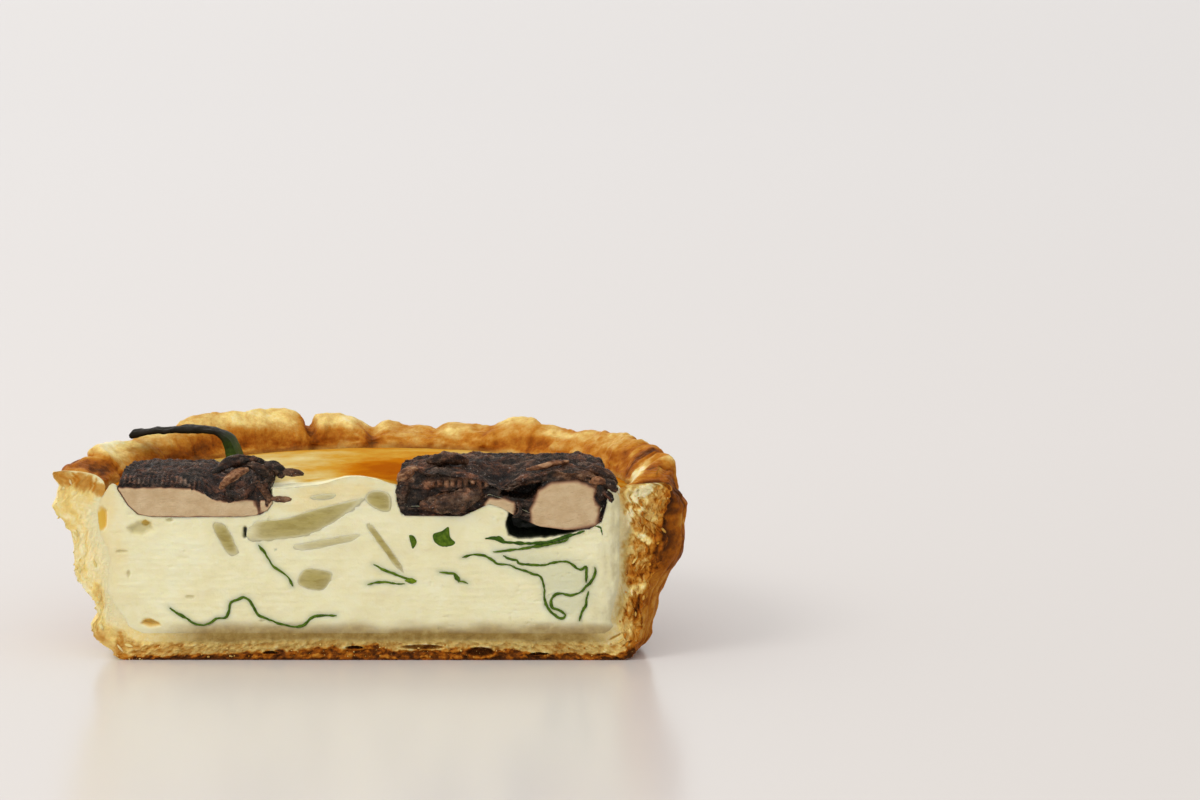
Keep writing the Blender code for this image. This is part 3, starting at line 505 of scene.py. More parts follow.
def line_distance(x, z, line):
    """Distance to an open line on the cut."""
    points = np.asarray(line, dtype=float)
    nearest = np.full(np.shape(x), np.inf)
    for start, end in zip(points, points[1:]):
        nearest = np.minimum(nearest, gap_to(x, z, start, end))
    return nearest


class Shape:
    """Gathers the sheets of one piece, with the named values that its material reads."""

    def __init__(self, *names):
        self.points = []
        self.faces = []
        self.values = {name: [] for name in names}
        self.count = 0

    def add_points(self, points, values):
        points = np.asarray(points, dtype=float).reshape(-1, 3)
        first = self.count
        self.points.append(points)
        for name, kept in self.values.items():
            given = values.get(name, 0.0)
            kept.append(np.broadcast_to(np.asarray(given, dtype=float).reshape(-1), (len(points),)))
        self.count += len(points)
        return first

    def sheet(self, points, flip=False, round_columns=False, **values):
        """Adds a grid of points (rows, columns, 3), with its last column joined to its first if asked."""
        rows, columns = points.shape[:2]
        first = self.add_points(points, values)
        index = first + np.arange(rows * columns).reshape(rows, columns)
        if round_columns:
            index = np.hstack((index, index[:, :1]))
        corners = (index[:-1, :-1], index[:-1, 1:], index[1:, 1:], index[1:, :-1])
        faces = np.stack(corners, axis=-1).reshape(-1, 4)
        self.faces.append(faces[:, ::-1] if flip else faces)
        return index

    def fill(self, ring, flip=False):
        """Closes a ring of points that are already there with one face."""
        self.faces.append(np.asarray(ring)[None, ::-1] if flip else np.asarray(ring)[None])

    def make(self, name, material, slot, *nodes, weld=0.0, outward=False):
        """Turns the shape into a piece that rides on the body and hides these nodes."""
        points = (np.vstack(self.points) + ORIGIN) * MM
        data = bpy.data.meshes.new(name)
        data.from_pydata(points.tolist(), [], [face.tolist() for group in self.faces for face in group])
        for key, kept in self.values.items():
            attribute = data.attributes.new(key, "FLOAT", "POINT")
            attribute.data.foreach_set("value", np.concatenate(kept).astype(np.float32))
        if weld or outward:
            mesh = bmesh.new()
            mesh.from_mesh(data)
            if weld:
                bmesh.ops.remove_doubles(mesh, verts=mesh.verts, dist=weld * MM)
            if outward:
                bmesh.ops.recalc_face_normals(mesh, faces=mesh.faces)
            mesh.to_mesh(data)
            mesh.free()
        data.validate()
        data.shade_smooth()
        data.materials.append(material)
        piece = bpy.data.objects.new(name, data)
        bpy.context.scene.collection.objects.link(piece)
        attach(piece, "root")
        if nodes:
            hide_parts(*nodes)
        return piece


class Graph:
    """A material's node tree, with short calls for the nodes used here."""

    def __init__(self, name):
        self.material = bpy.data.materials.new(name)
        self.material.use_nodes = True
        self.tree = self.material.node_tree
        self.shader = self.tree.nodes["Principled BSDF"]
        self.place = self.tree.nodes.new("ShaderNodeTexCoord").outputs["Object"]

    def feed(self, socket, value):
        if isinstance(value, bpy.types.NodeSocket):
            self.tree.links.new(value, socket)
        elif isinstance(value, tuple) and len(value) == 3 and socket.type == "RGBA":
            socket.default_value = (*value, 1.0)
        else:
            socket.default_value = value

    def set(self, **settings):
        for name, value in settings.items():
            self.feed(self.shader.inputs[name.replace("_", " ")], value)

    def named(self, name):
        node = self.tree.nodes.new("ShaderNodeAttribute")
        node.attribute_name = name
        return node.outputs["Fac"]

    def stretched(self, scale):
        node = self.tree.nodes.new("ShaderNodeMapping")
        self.feed(node.inputs["Vector"], self.place)
        node.inputs["Scale"].default_value = scale
        return node.outputs["Vector"]

    def grain(self, size, detail=4.0, roughness=0.55, distortion=0.0, place=None):
        """Noise from 0 to 1 with features of this size in millimetres."""
        node = self.tree.nodes.new("ShaderNodeTexNoise")
        self.feed(node.inputs["Vector"], place or self.place)
        node.inputs["Scale"].default_value = 1 / (size * MM)
        node.inputs["Detail"].default_value = detail
        node.inputs["Roughness"].default_value = roughness
        node.inputs["Distortion"].default_value = distortion
        return node.outputs["Fac"]

    def math(self, operation, one, other=0.0, clamp=False):
        node = self.tree.nodes.new("ShaderNodeMath")
        node.operation = operation
        node.use_clamp = clamp
        self.feed(node.inputs[0], one)
        self.feed(node.inputs[1], other)
        return node.outputs[0]

    def spread(self, value, low, high, out_low=0.0, out_high=1.0):
        """Maps low to high onto out_low to out_high, with smooth ends."""
        node = self.tree.nodes.new("ShaderNodeMapRange")
        node.interpolation_type = "SMOOTHSTEP"
        self.feed(node.inputs["Value"], value)
        node.inputs["From Min"].default_value = low
        node.inputs["From Max"].default_value = high
        node.inputs["To Min"].default_value = out_low
        node.inputs["To Max"].default_value = out_high
        return node.outputs["Result"]

    def ramp(self, value, *stops):
        node = self.tree.nodes.new("ShaderNodeValToRGB")
        self.feed(node.inputs["Fac"], value)
        elements = node.color_ramp.elements
        while len(elements) < len(stops):
            elements.new(1.0)
        for element, (position, colour) in zip(elements, stops):
            element.position = position
            element.color = (*colour, 1.0)
        return node.outputs["Color"]

    def mix(self, share, one, other, blend="MIX"):
        node = self.tree.nodes.new("ShaderNodeMix")
        node.data_type = "RGBA"
        node.blend_type = blend
        self.feed(node.inputs["Factor"], share)
        self.feed(node.inputs["A"], one)
        self.feed(node.inputs["B"], other)
        return node.outputs["Result"]

    def bump(self, *layers):
        """Relief from pairs of a value and a depth in millimetres."""
        normal = None
        for value, depth in layers:
            node = self.tree.nodes.new("ShaderNodeBump")
            node.inputs["Distance"].default_value = depth * MM
            self.feed(node.inputs["Height"], value)
            if normal:
                self.feed(node.inputs["Normal"], normal)
            normal = node.outputs["Normal"]
        self.feed(self.shader.inputs["Normal"], normal)


# Crust colours, from raw dough to dark brown
BAKE = (
    (0.00, (0.95, 0.86, 0.53)),
    (0.18, (0.87, 0.67, 0.24)),
    (0.36, (0.64, 0.375, 0.095)),
    (0.52, (0.52, 0.21, 0.022)),
    (0.68, (0.35, 0.098, 0.0065)),
    (0.84, (0.15, 0.042, 0.006)),
    (1.00, (0.05, 0.016, 0.005)),
)


def cream_colour(g):
    """Custard where the knife went through it, in soft pale clouds."""
    cloud = g.grain(8.0, 4.0, 0.55)
    fine = g.grain(1.6, 4.0, 0.6)
    pale = g.ramp(cloud, (0.30, (0.82, 0.765, 0.47)), (0.55, (0.86, 0.82, 0.53)), (0.75, (0.88, 0.865, 0.62)))
    return g.mix(g.spread(fine, 0.35, 0.75, 0.0, 0.25), pale, (0.92, 0.91, 0.74))


def damp_colour(g):
    """Pastry and custard that have soaked into each other."""
    blot = g.grain(2.2, 5.0, 0.62)
    return g.ramp(blot, (0.30, (0.24, 0.15, 0.042)), (0.50, (0.33, 0.215, 0.062)),
                  (0.72, (0.46, 0.34, 0.125)))


def crust_material():
    """Baked pastry: bake picks a colour, and where it is soggy or creamy the filling has soaked in."""
    g = Graph("crust_pastry")
    bake = g.named("bake")
    soggy = g.named("soggy")
    broad = g.grain(4.5, 5.0, 0.6)
    fine = g.grain(0.9, 5.0, 0.65)
    speck = g.grain(0.32, 3.0, 0.6)
    uneven = g.math("ADD", g.math("MULTIPLY", g.math("SUBTRACT", broad, 0.5), 0.34),
                    g.math("MULTIPLY", g.math("SUBTRACT", fine, 0.5), 0.34))
    uneven = g.math("ADD", uneven, g.math("MULTIPLY", g.math("SUBTRACT", speck, 0.5), 0.14))
    tone = g.math("ADD", bake, g.math("MULTIPLY", uneven, g.named("patchy")), clamp=True)
    soaked = g.mix(0.18, cream_colour(g), (0.70, 0.47, 0.045))
    colour = g.mix(g.named("creamy"), g.ramp(tone, *BAKE), soaked)
    colour = g.mix(soggy, colour, damp_colour(g))
    g.set(Base_Color=colour, Metallic=0.0, Subsurface_Weight=0.25, Subsurface_Scale=0.7 * MM)
    g.shader.inputs["Subsurface Radius"].default_value = (1.0, 0.55, 0.25)
    g.set(Roughness=g.spread(fine, 0.25, 0.75, 0.32, 0.58), Specular_IOR_Level=0.03)
    g.bump((fine, 0.24), (speck, 0.12))
    return g.material


def custard_material():
    """Set custard, pale and wet where it is cut."""
    g = Graph("custard_set")
    fine = g.grain(1.6, 4.0, 0.6)
    speck = g.grain(0.35, 3.0, 0.6)
    pale = g.mix(g.math("MULTIPLY", g.named("leafy"), 0.75), cream_colour(g), (0.46, 0.52, 0.38))
    pale = g.mix(g.named("yolk"), pale, (0.80, 0.50, 0.050))
    pale = g.mix(g.named("olive"), pale, (0.52, 0.44, 0.16))
    pale = g.mix(g.named("damp"), pale, damp_colour(g))
    # Near black where dark is set, in the deepest hollow and one deep bubble: partly dark leaf lining them,
    # partly painted shade.
    pale = g.mix(g.named("dark"), pale, (0.012, 0.016, 0.008))
    g.set(Base_Color=pale, Metallic=0.0, Subsurface_Weight=0.45, Subsurface_Scale=1.3 * MM)
    g.shader.inputs["Subsurface Radius"].default_value = (1.0, 0.85, 0.45)
    g.set(Roughness=g.spread(fine, 0.3, 0.7, 0.26, 0.48), Specular_IOR_Level=0.25)
    g.bump((fine, 0.10), (speck, 0.06))
    return g.material


def skin_material():
    """The baked skin on the custard, from cream at the cut to deep orange."""
    g = Graph("custard_baked_skin")
    skin = g.named("skin")
    fine = g.grain(1.6, 4.0, 0.6)
    baked = g.math("ADD", skin, g.math("MULTIPLY", g.math("SUBTRACT", g.grain(5.0, 5.0, 0.6), 0.5), 0.5))
    top = g.ramp(baked, (0.10, (0.76, 0.66, 0.34)), (0.32, (0.64, 0.46, 0.15)), (0.52, (0.58, 0.30, 0.035)),
                 (0.72, (0.50, 0.155, 0.004)), (0.92, (0.38, 0.09, 0.003)))
    colour = g.mix(g.spread(skin, 0.03, 0.25), cream_colour(g), top)
    g.set(Base_Color=colour, Metallic=0.0, Subsurface_Weight=0.2, Subsurface_Scale=1.0 * MM)
    g.shader.inputs["Subsurface Radius"].default_value = (1.0, 0.7, 0.3)
    g.set(Roughness=g.spread(fine, 0.3, 0.7, 0.35, 0.55), Specular_IOR_Level=0.0)
    g.bump((fine, 0.14),)
    return g.material


def mushroom_material():
    """Roasted mushroom: nearly black and wet outside, pinkish beige where it is cut."""
    g = Graph("mushroom_roasted")
    flesh = g.named("flesh")
    ridge = g.named("ridge")
    tan = g.named("tan")
    wrinkle = g.grain(1.1, 6.0, 0.66, 0.5, place=g.stretched((0.55, 1.0, 1.0)))
    fine = g.grain(0.30, 3.0, 0.6)
    warm = g.spread(g.grain(3.2, 3.0, 0.6), 0.42, 0.60)
    mottle = g.spread(wrinkle, 0.32, 0.70)
    # Paler on the crests (ridge) and near black in the troughs: partly the mushroom's own colour, partly
    # painted highlight on the crests and painted shade in the troughs.
    tone = g.math("ADD", g.math("MULTIPLY", ridge, 0.50), g.math("MULTIPLY", mottle, 0.42), clamp=True)
    tone = g.math("ADD", tone, g.math("MULTIPLY", g.math("SUBTRACT", fine, 0.5), 0.35), clamp=True)
    dark = g.ramp(tone, (0.20, (0.004, 0.003, 0.002)), (0.42, (0.024, 0.015, 0.009)),
                  (0.60, (0.080, 0.050, 0.034)), (0.78, (0.20, 0.135, 0.095)), (0.95, (0.40, 0.29, 0.21)))
    dark = g.mix(warm, dark, g.mix(1.0, dark, (1.35, 0.80, 0.55), blend="MULTIPLY"))
    dark = g.mix(tan, dark, g.ramp(mottle, (0.15, (0.10, 0.035, 0.012)), (0.55, (0.30, 0.13, 0.055)),
                                   (0.90, (0.50, 0.29, 0.15))))
    glint = g.spread(g.grain(0.42, 2.0, 0.5), 0.67, 0.74, 0.0, 0.60)
    dark = g.mix(glint, dark, (0.42, 0.36, 0.32))
    cut = g.ramp(g.grain(2.4, 4.0, 0.6), (0.30, (0.56, 0.39, 0.21)), (0.70, (0.69, 0.53, 0.32)))
    rosy = g.ramp(flesh, (0.30, (0.12, 0.045, 0.020)), (0.72, (0.50, 0.30, 0.17)))
    colour = g.mix(g.spread(flesh, 0.12, 0.45), dark, g.mix(g.spread(flesh, 0.55, 0.95), rosy, cut))
    g.set(Base_Color=colour, Metallic=0.0, Subsurface_Weight=0.12, Subsurface_Scale=0.8 * MM)
    g.shader.inputs["Subsurface Radius"].default_value = (1.0, 0.6, 0.4)
    wet = g.spread(fine, 0.35, 0.65, 0.16, 0.42)
    g.set(Roughness=g.mix(flesh, wet, (0.5, 0.5, 0.5)), Specular_IOR_Level=0.22)
    g.bump((wrinkle, 0.38), (fine, 0.16))
    return g.material


def spinach_material():
    """Cooked leaf: dark edges, brighter green where light gets through."""
    g = Graph("spinach_cooked")
    bright = g.named("bright")
    vein = g.grain(0.7, 4.0, 0.6)
    dark = g.ramp(vein, (0.30, (0.018, 0.048, 0.006)), (0.70, (0.070, 0.145, 0.014)))
    light = g.ramp(vein, (0.30, (0.080, 0.150, 0.006)), (0.70, (0.24, 0.34, 0.018)))
    colour = g.mix(g.named("charred"), g.mix(bright, dark, light), (0.016, 0.013, 0.008))
    g.set(Base_Color=colour, Metallic=0.0, Subsurface_Weight=0.1)
    g.set(Subsurface_Scale=0.5 * MM, Roughness=g.spread(vein, 0.3, 0.7, 0.35, 0.55), Specular_IOR_Level=0.06)
    g.shader.inputs["Subsurface Radius"].default_value = (0.4, 1.0, 0.2)
    g.bump((vein, 0.08),)
    return g.material


def onion_material():
    """Cooked onion: a wet jelly that is darkest in its middle and fades into the custard."""
    g = Graph("onion_cooked")
    deep = g.named("deep")
    strand = g.grain(0.8, 4.0, 0.6, place=g.stretched((0.3, 1.0, 1.0)))
    body = g.ramp(strand, (0.30, (0.31, 0.24, 0.050)), (0.70, (0.46, 0.385, 0.115)))
    colour = g.mix(deep, cream_colour(g), body)
    g.set(Base_Color=colour, Metallic=0.0, Subsurface_Weight=0.5, Subsurface_Scale=1.6 * MM)
    g.shader.inputs["Subsurface Radius"].default_value = (1.0, 0.9, 0.4)
    g.set(Roughness=g.spread(strand, 0.3, 0.7, 0.20, 0.36), Specular_IOR_Level=0.35)
    g.bump((strand, 0.08),)
    return g.material


def plan(turn, radius, height):
    """The point at this share of the way round, from the right end of the cut to the left."""
    angle = turn * (math.pi + 2 * OVERRUN) - OVERRUN
    x = radius * np.cos(angle) - LEAN * height / CRUST_HEIGHT
    y = radius * (np.sin(angle) + math.sin(OVERRUN))
    return at(x, y, height)


def flute_shape(turns):
    """How far the flutes bulge, their arch and the depth of the nearest crease at these places."""
    random = np.random.default_rng(SEED)
    edges = np.array(CREASES)[:, 0]
    depths = FLUTE_DEPTH * random.uniform(0.6, 1.3, len(edges) - 1)
    depths[0] = END_FLUTE_DEPTH
    depths[-1] = END_FLUTE_DEPTH
    which = np.clip(np.searchsorted(edges, turns, side="right") - 1, 0, len(edges) - 2)
    share = (turns - edges[which]) / (edges[which + 1] - edges[which])
    arch = np.clip(np.sin(math.pi * np.clip(share, 0, 1)), 0, 1) ** 0.7
    crease = 0.0
    for edge, depth in CREASES:
        crease = np.maximum(crease, depth * bump_at(turns, edge, CREASE_WIDTH))
    return arch * depths[which], arch, crease


def crest_rise(turns):
    table = np.array(CREST)
    return np.interp(turns, table[:, 0], table[:, 1]) - CRUST_HEIGHT


def outer_radius(height):
    return BASE_RADIUS + (RIM_RADIUS - BASE_RADIUS) * (height / CRUST_HEIGHT) ** FLARE


def inner_radius(height):
    return outer_radius(height) - WALL_AT_BASE - (WALL_AT_RIM - WALL_AT_BASE) * height / CRUST_HEIGHT


def shell_controls(turns):
    """Rows of the crust from the edge of its underside over the crest and down to the floor inside."""
    bulge, _, _ = flute_shape(turns)
    rise = crest_rise(turns)
    rows = [plan(turns, BASE_RADIUS - UNDERSIDE_INSET, 0.0 * turns)]
    for height in OUTER_HEIGHTS[1:]:
        depth = bulge * min(1.0, 0.35 + 0.75 * height / CRUST_HEIGHT)
        rows.append(plan(turns, outer_radius(height) + depth, height + 0 * turns))
    shoulder = CRUST_HEIGHT - 0.6
    rows.append(plan(turns, outer_radius(shoulder) + bulge - 0.4, shoulder + 0.7 * rise))
    rows.append(plan(turns, outer_radius(CRUST_HEIGHT) - CREST_INSET + 0.9 * bulge, CRUST_HEIGHT + rise))
    lip = CRUST_HEIGHT - 1.0
    rows.append(plan(turns, inner_radius(lip) + 1.4 + 0.8 * bulge, lip + 0.6 * rise))
    for height in INNER_HEIGHTS[:0:-1]:
        share = max(0.0, (height - CUSTARD_EDGE) / (CRUST_HEIGHT - CUSTARD_EDGE))
        rows.append(plan(turns, inner_radius(height) + 0.8 * share * bulge, height + 0 * turns))
    rows.append(plan(turns, inner_radius(BASE_THICKNESS) - FLOOR_CORNER, BASE_THICKNESS + 0 * turns))
    return np.array(rows)


CREST_ROW = len(OUTER_HEIGHTS) + 1
OUTSIDE_ROWS = len(OUTER_HEIGHTS) - 1
VISIBLE_ROWS = CREST_ROW + 3


def fine_shell(turns):
    """The crust's rows made dense and smooth, with how far each row is along the controls."""
    controls = shell_controls(turns)
    middle = controls[:, len(turns) // 2]
    places = []
    for k in range(len(controls) - 1):
        step = OUTSIDE_STEP if k < OUTSIDE_ROWS else CREST_STEP if k < VISIBLE_ROWS else HIDDEN_STEP
        count = max(1, int(round(np.linalg.norm(middle[k + 1] - middle[k]) / step)))
        places.extend(k + np.arange(count) / count)
    places = np.array(places + [len(controls) - 1.0])
    padded = np.concatenate((2 * controls[:1] - controls[1:2], controls, 2 * controls[-1:] - controls[-2:-1]))
    which = np.minimum(places.astype(int), len(controls) - 2)
    share = (places - which)[:, None, None]
    return smooth_between(*(padded[which + k] for k in range(4)), share), places


def surface_normals(points):
    """Outward directions of a grid of points, from its neighbours."""
    down = np.gradient(points, axis=0)
    across = np.gradient(points, axis=1)
    normal = np.cross(across, down)
    length = np.linalg.norm(normal, axis=-1, keepdims=True)
    return normal / np.maximum(length, 1e-9)


def edge_offset(table, heights):
    rows = np.array(table, dtype=float)
    return np.interp(heights, rows[:, 0], rows[:, 1])


def crust_shell():
    """The whole outside and inside of the crust, with its flutes, lumps, blisters and torn ends."""
    turns = np.linspace(0.0, 1.0, SHELL_COLUMNS)
    rows, places = fine_shell(turns)
    _, arch, crease = flute_shape(turns)
    arch = np.broadcast_to(arch, rows.shape[:2])
    outside = smooth_step(0.0, 1.5, places)[:, None]
    upper = smooth_step(OUTSIDE_ROWS - 2, CREST_ROW, places)[:, None]
    shown = 1 - smooth_step(VISIBLE_ROWS, VISIBLE_ROWS + 1, places)[:, None]
    inner = smooth_step(CREST_ROW, CREST_ROW + 2, places)[:, None]
    # Places on the rolled-out wall: the way round, and the height
    round_mm = turns[None, :] * (math.pi + 2 * OVERRUN) * RIM_RADIUS + 0 * places[:, None]
    up_mm = places[:, None] * ROW_SPACING + 0 * round_mm
    wall = at(round_mm, up_mm, 0.0)
    near_cut = smooth_step(0.4, 5.0, np.abs(rows[..., 1]))
    lumps = LUMP_DEPTH * (0.15 + 0.85 * near_cut) * layered(wall, (6.5, 4.0, 3.0), 31, 3)
    skin = SKIN_DEPTH * (ridged(wall, (3.4, 2.2, 2.0), 41, 4) - 0.55)
    blisters = BLISTER_DEPTH * smooth_step(0.45, 0.9, noise(wall, (3.2, 2.6, 2.0), 53))
    folds = FOLD_DEPTH * upper * layered(at(round_mm, up_mm * 0.35, 0.0), (3.2, 3.0, 2.0), 61, 4)
    valley = crease * (0.7 * upper + 0.55 * (1 - upper) * near_cut * smooth_step(0.0, 4.0, places)[:, None])
    push = lumps + skin + blisters * near_cut + folds - valley
    lump_turn, lump_height, lump_width, lump_tall, lump_rise = RIM_LUMP
    lump = bump_at(turns[None], lump_turn, lump_width) * bump_at(rows[..., 2], lump_height, lump_tall)
    push = push + lump_rise * lump * inner
    right_end = smooth_step(44.0, 51.0, rows[..., 0]) * (1 - inner)
    upright = layered(at(round_mm, up_mm * 0.22, 0.0), (1.0, 3.0, 2.0), 63, 4, 0.6)
    push = push + 0.30 * upright * right_end
    rows = rows + surface_normals(rows) * (outside * shown * push)[..., None]
    rows[..., 2] = np.maximum(rows[..., 2], 0.0)
    rows = torn_ends(rows, places)
    x = rows[..., 0]
    z = rows[..., 2]
    blotch = layered(wall, (8.0, 4.0, 5.0), 71, 3)
    bake = 0.60 - 0.13 * upper + 0.14 * blotch - 0.10 * smooth_step(0.1, 0.5, lumps + folds)
    # Darker in the creases between flutes and away from their crowns: partly browning, partly painted shade
    # in the creases.
    bake = bake + upper * (0.16 * np.minimum(crease, 1.0) + 0.08 * (1 - arch) ** 2)
    bake = bake + (1 - upper) * (0.10 * np.minimum(crease, 1.0) - 0.08 * (arch - 0.6)) * near_cut
    mottle = layered(wall, (4.2, 2.6, 2.0), 79, 4, 0.6)
    bake = bake + upper * (0.12 * mottle - 0.06 * smooth_step(2.0, 0.5, np.abs(places[:, None] - CREST_ROW)))
    bake = bake + 0.02 * inner - 0.06 * blisters / 0.55
    bake = bake + 0.10 * smooth_step(3.5, 0.0, z) * outside
    flaky = layered(at(round_mm, up_mm, 0.0), (1.6, 1.1, 1.0), 73, 4, 0.6)
    bake = bake + 0.09 * flaky * (1 - 0.75 * upper)
    # Painted shade: a darker line in the crease just behind the cut on the right outside, stronger above mid
    # height and fading out under the rim.
    crease_shade_by_cut = bump_at(rows[..., 1], 0.0, 0.7) * smooth_step(20.0, 40.0, x) * smooth_step(34.0, 31.0, z)
    bake = bake + (0.06 + 0.16 * smooth_step(18.0, 24.0, z)) * crease_shade_by_cut * outside
    bake = bake + (0.01 + 0.10 * smooth_step(12.0, 22.0, z)) * smooth_step(46.0, 52.0, x) * (1 - inner)
    bake = bake - 0.12 * upright * right_end
    left_end = smooth_step(14.0, 2.0, rows[..., 1]) * smooth_step(-40.0, -48.0, x) * (1 - inner)
    bake = bake + left_end * (0.24 - bake) * 0.85
    bake = bake - 0.12 * smooth_step(-25.0, -50.0, x) * (1 - inner)
    for turn, height, half_turn, half_height, change, side in RIM_PATCHES:
        out = np.hypot((turns[None] - turn) / half_turn, (z - height) / half_height)
        part = 1 - inner if side > 0 else smooth_step(0.1, 0.6, inner) if side < 0 else 1.0
        bake = bake + change * part * smooth_step(1.3, 0.3, out + 0.3 * blotch)
    soggy = smooth_step(CREST_ROW + 2.2, CREST_ROW + 3.2, places)[:, None] * np.ones_like(arch)
    return rows, places, np.clip(bake, 0.02, 0.95), 0.5 * soggy


def torn_ends(rows, places):
    """Moves the wall near both ends of the cut to the torn outline there."""
    rows = rows.copy()
    sides = ((0, RIGHT_EDGE, RIGHT_INNER_EDGE, RIGHT_REACH), (-1, LEFT_EDGE, LEFT_INNER_EDGE, LEFT_REACH))
    for end, out_table, in_table, far in sides:
        column = rows[:, end]
        heights = column[:, 2]
        outer = places <= CREST_ROW
        shift = np.where(outer, edge_offset(out_table, heights), edge_offset(in_table, heights))
        blend_in = smooth_step(0.0, 1.0, np.abs(places - CREST_ROW) + 0.35)
        ragged = 0.38 * layered(at(places * 3.2, end, 0.0), 0.9, 83, 4, 0.7) * outer * (heights > 0.3)
        way = -1.0 if end == -1 else 1.0
        depth = np.abs(rows[..., 1])
        reach = np.where(outer[:, None], np.exp(-((depth / far) ** 2)), np.exp(-((depth / RIGHT_REACH) ** 2)))
        reach = reach * (way * rows[..., 0] > 0)
        rows[..., 0] += way * (shift * blend_in)[:, None] * reach
        rows[..., 0] += way * ragged[:, None] * np.exp(-((depth / 1.2) ** 2))
    beside = rows[..., 0] > 0
    outer_part = (places <= CREST_ROW)[:, None] * beside
    roll = edge_offset(RIGHT_ROLL, rows[..., 2]) * bump_at(rows[..., 1], ROLL_MIDDLE, ROLL_REACH) ** 0.7
    rows[..., 0] += outer_part * smooth_step(0.0, 1.4, rows[..., 1]) * roll
    return rows


def cut_lines(shell, places):
    """The outer and inner edge of the cut crust, from the right crest round the base to the left crest."""
    crest = int(np.argmin(np.abs(places - CREST_ROW)))
    wall_steps = int(round(CUT_WALL_LENGTH / CUT_STEP))
    floor_steps = int(round(CUT_FLOOR_LENGTH / CUT_STEP))
    lines = []
    for inner in (False, True):
        parts = []
        for end in (0, -1):
            column = shell[:, end]
            line = column[crest:] if inner else column[: crest + 1][::-1]
            parts.append(resampled(line, wall_steps))
        floor = np.linspace(parts[0][-1], parts[1][-1], floor_steps)[1:-1]
        lines.append(np.vstack((parts[0], floor, parts[1][::-1])))
    return lines


def base_blisters(x, z, floor):
    """Flat bubbles between the layers of the base: how deep they are, and where their rims are."""
    depth = 0.0
    rim = 0.0
    for middle, half_length, height, half_height in BLISTERS:
        out = np.hypot((x - middle) / half_length, (z - height) / half_height)
        depth = np.maximum(depth, smooth_step(1.0, 0.55, out) * floor)
        rim = np.maximum(rim, bump_at(out, 1.08, 0.16) * floor)
    return depth, rim


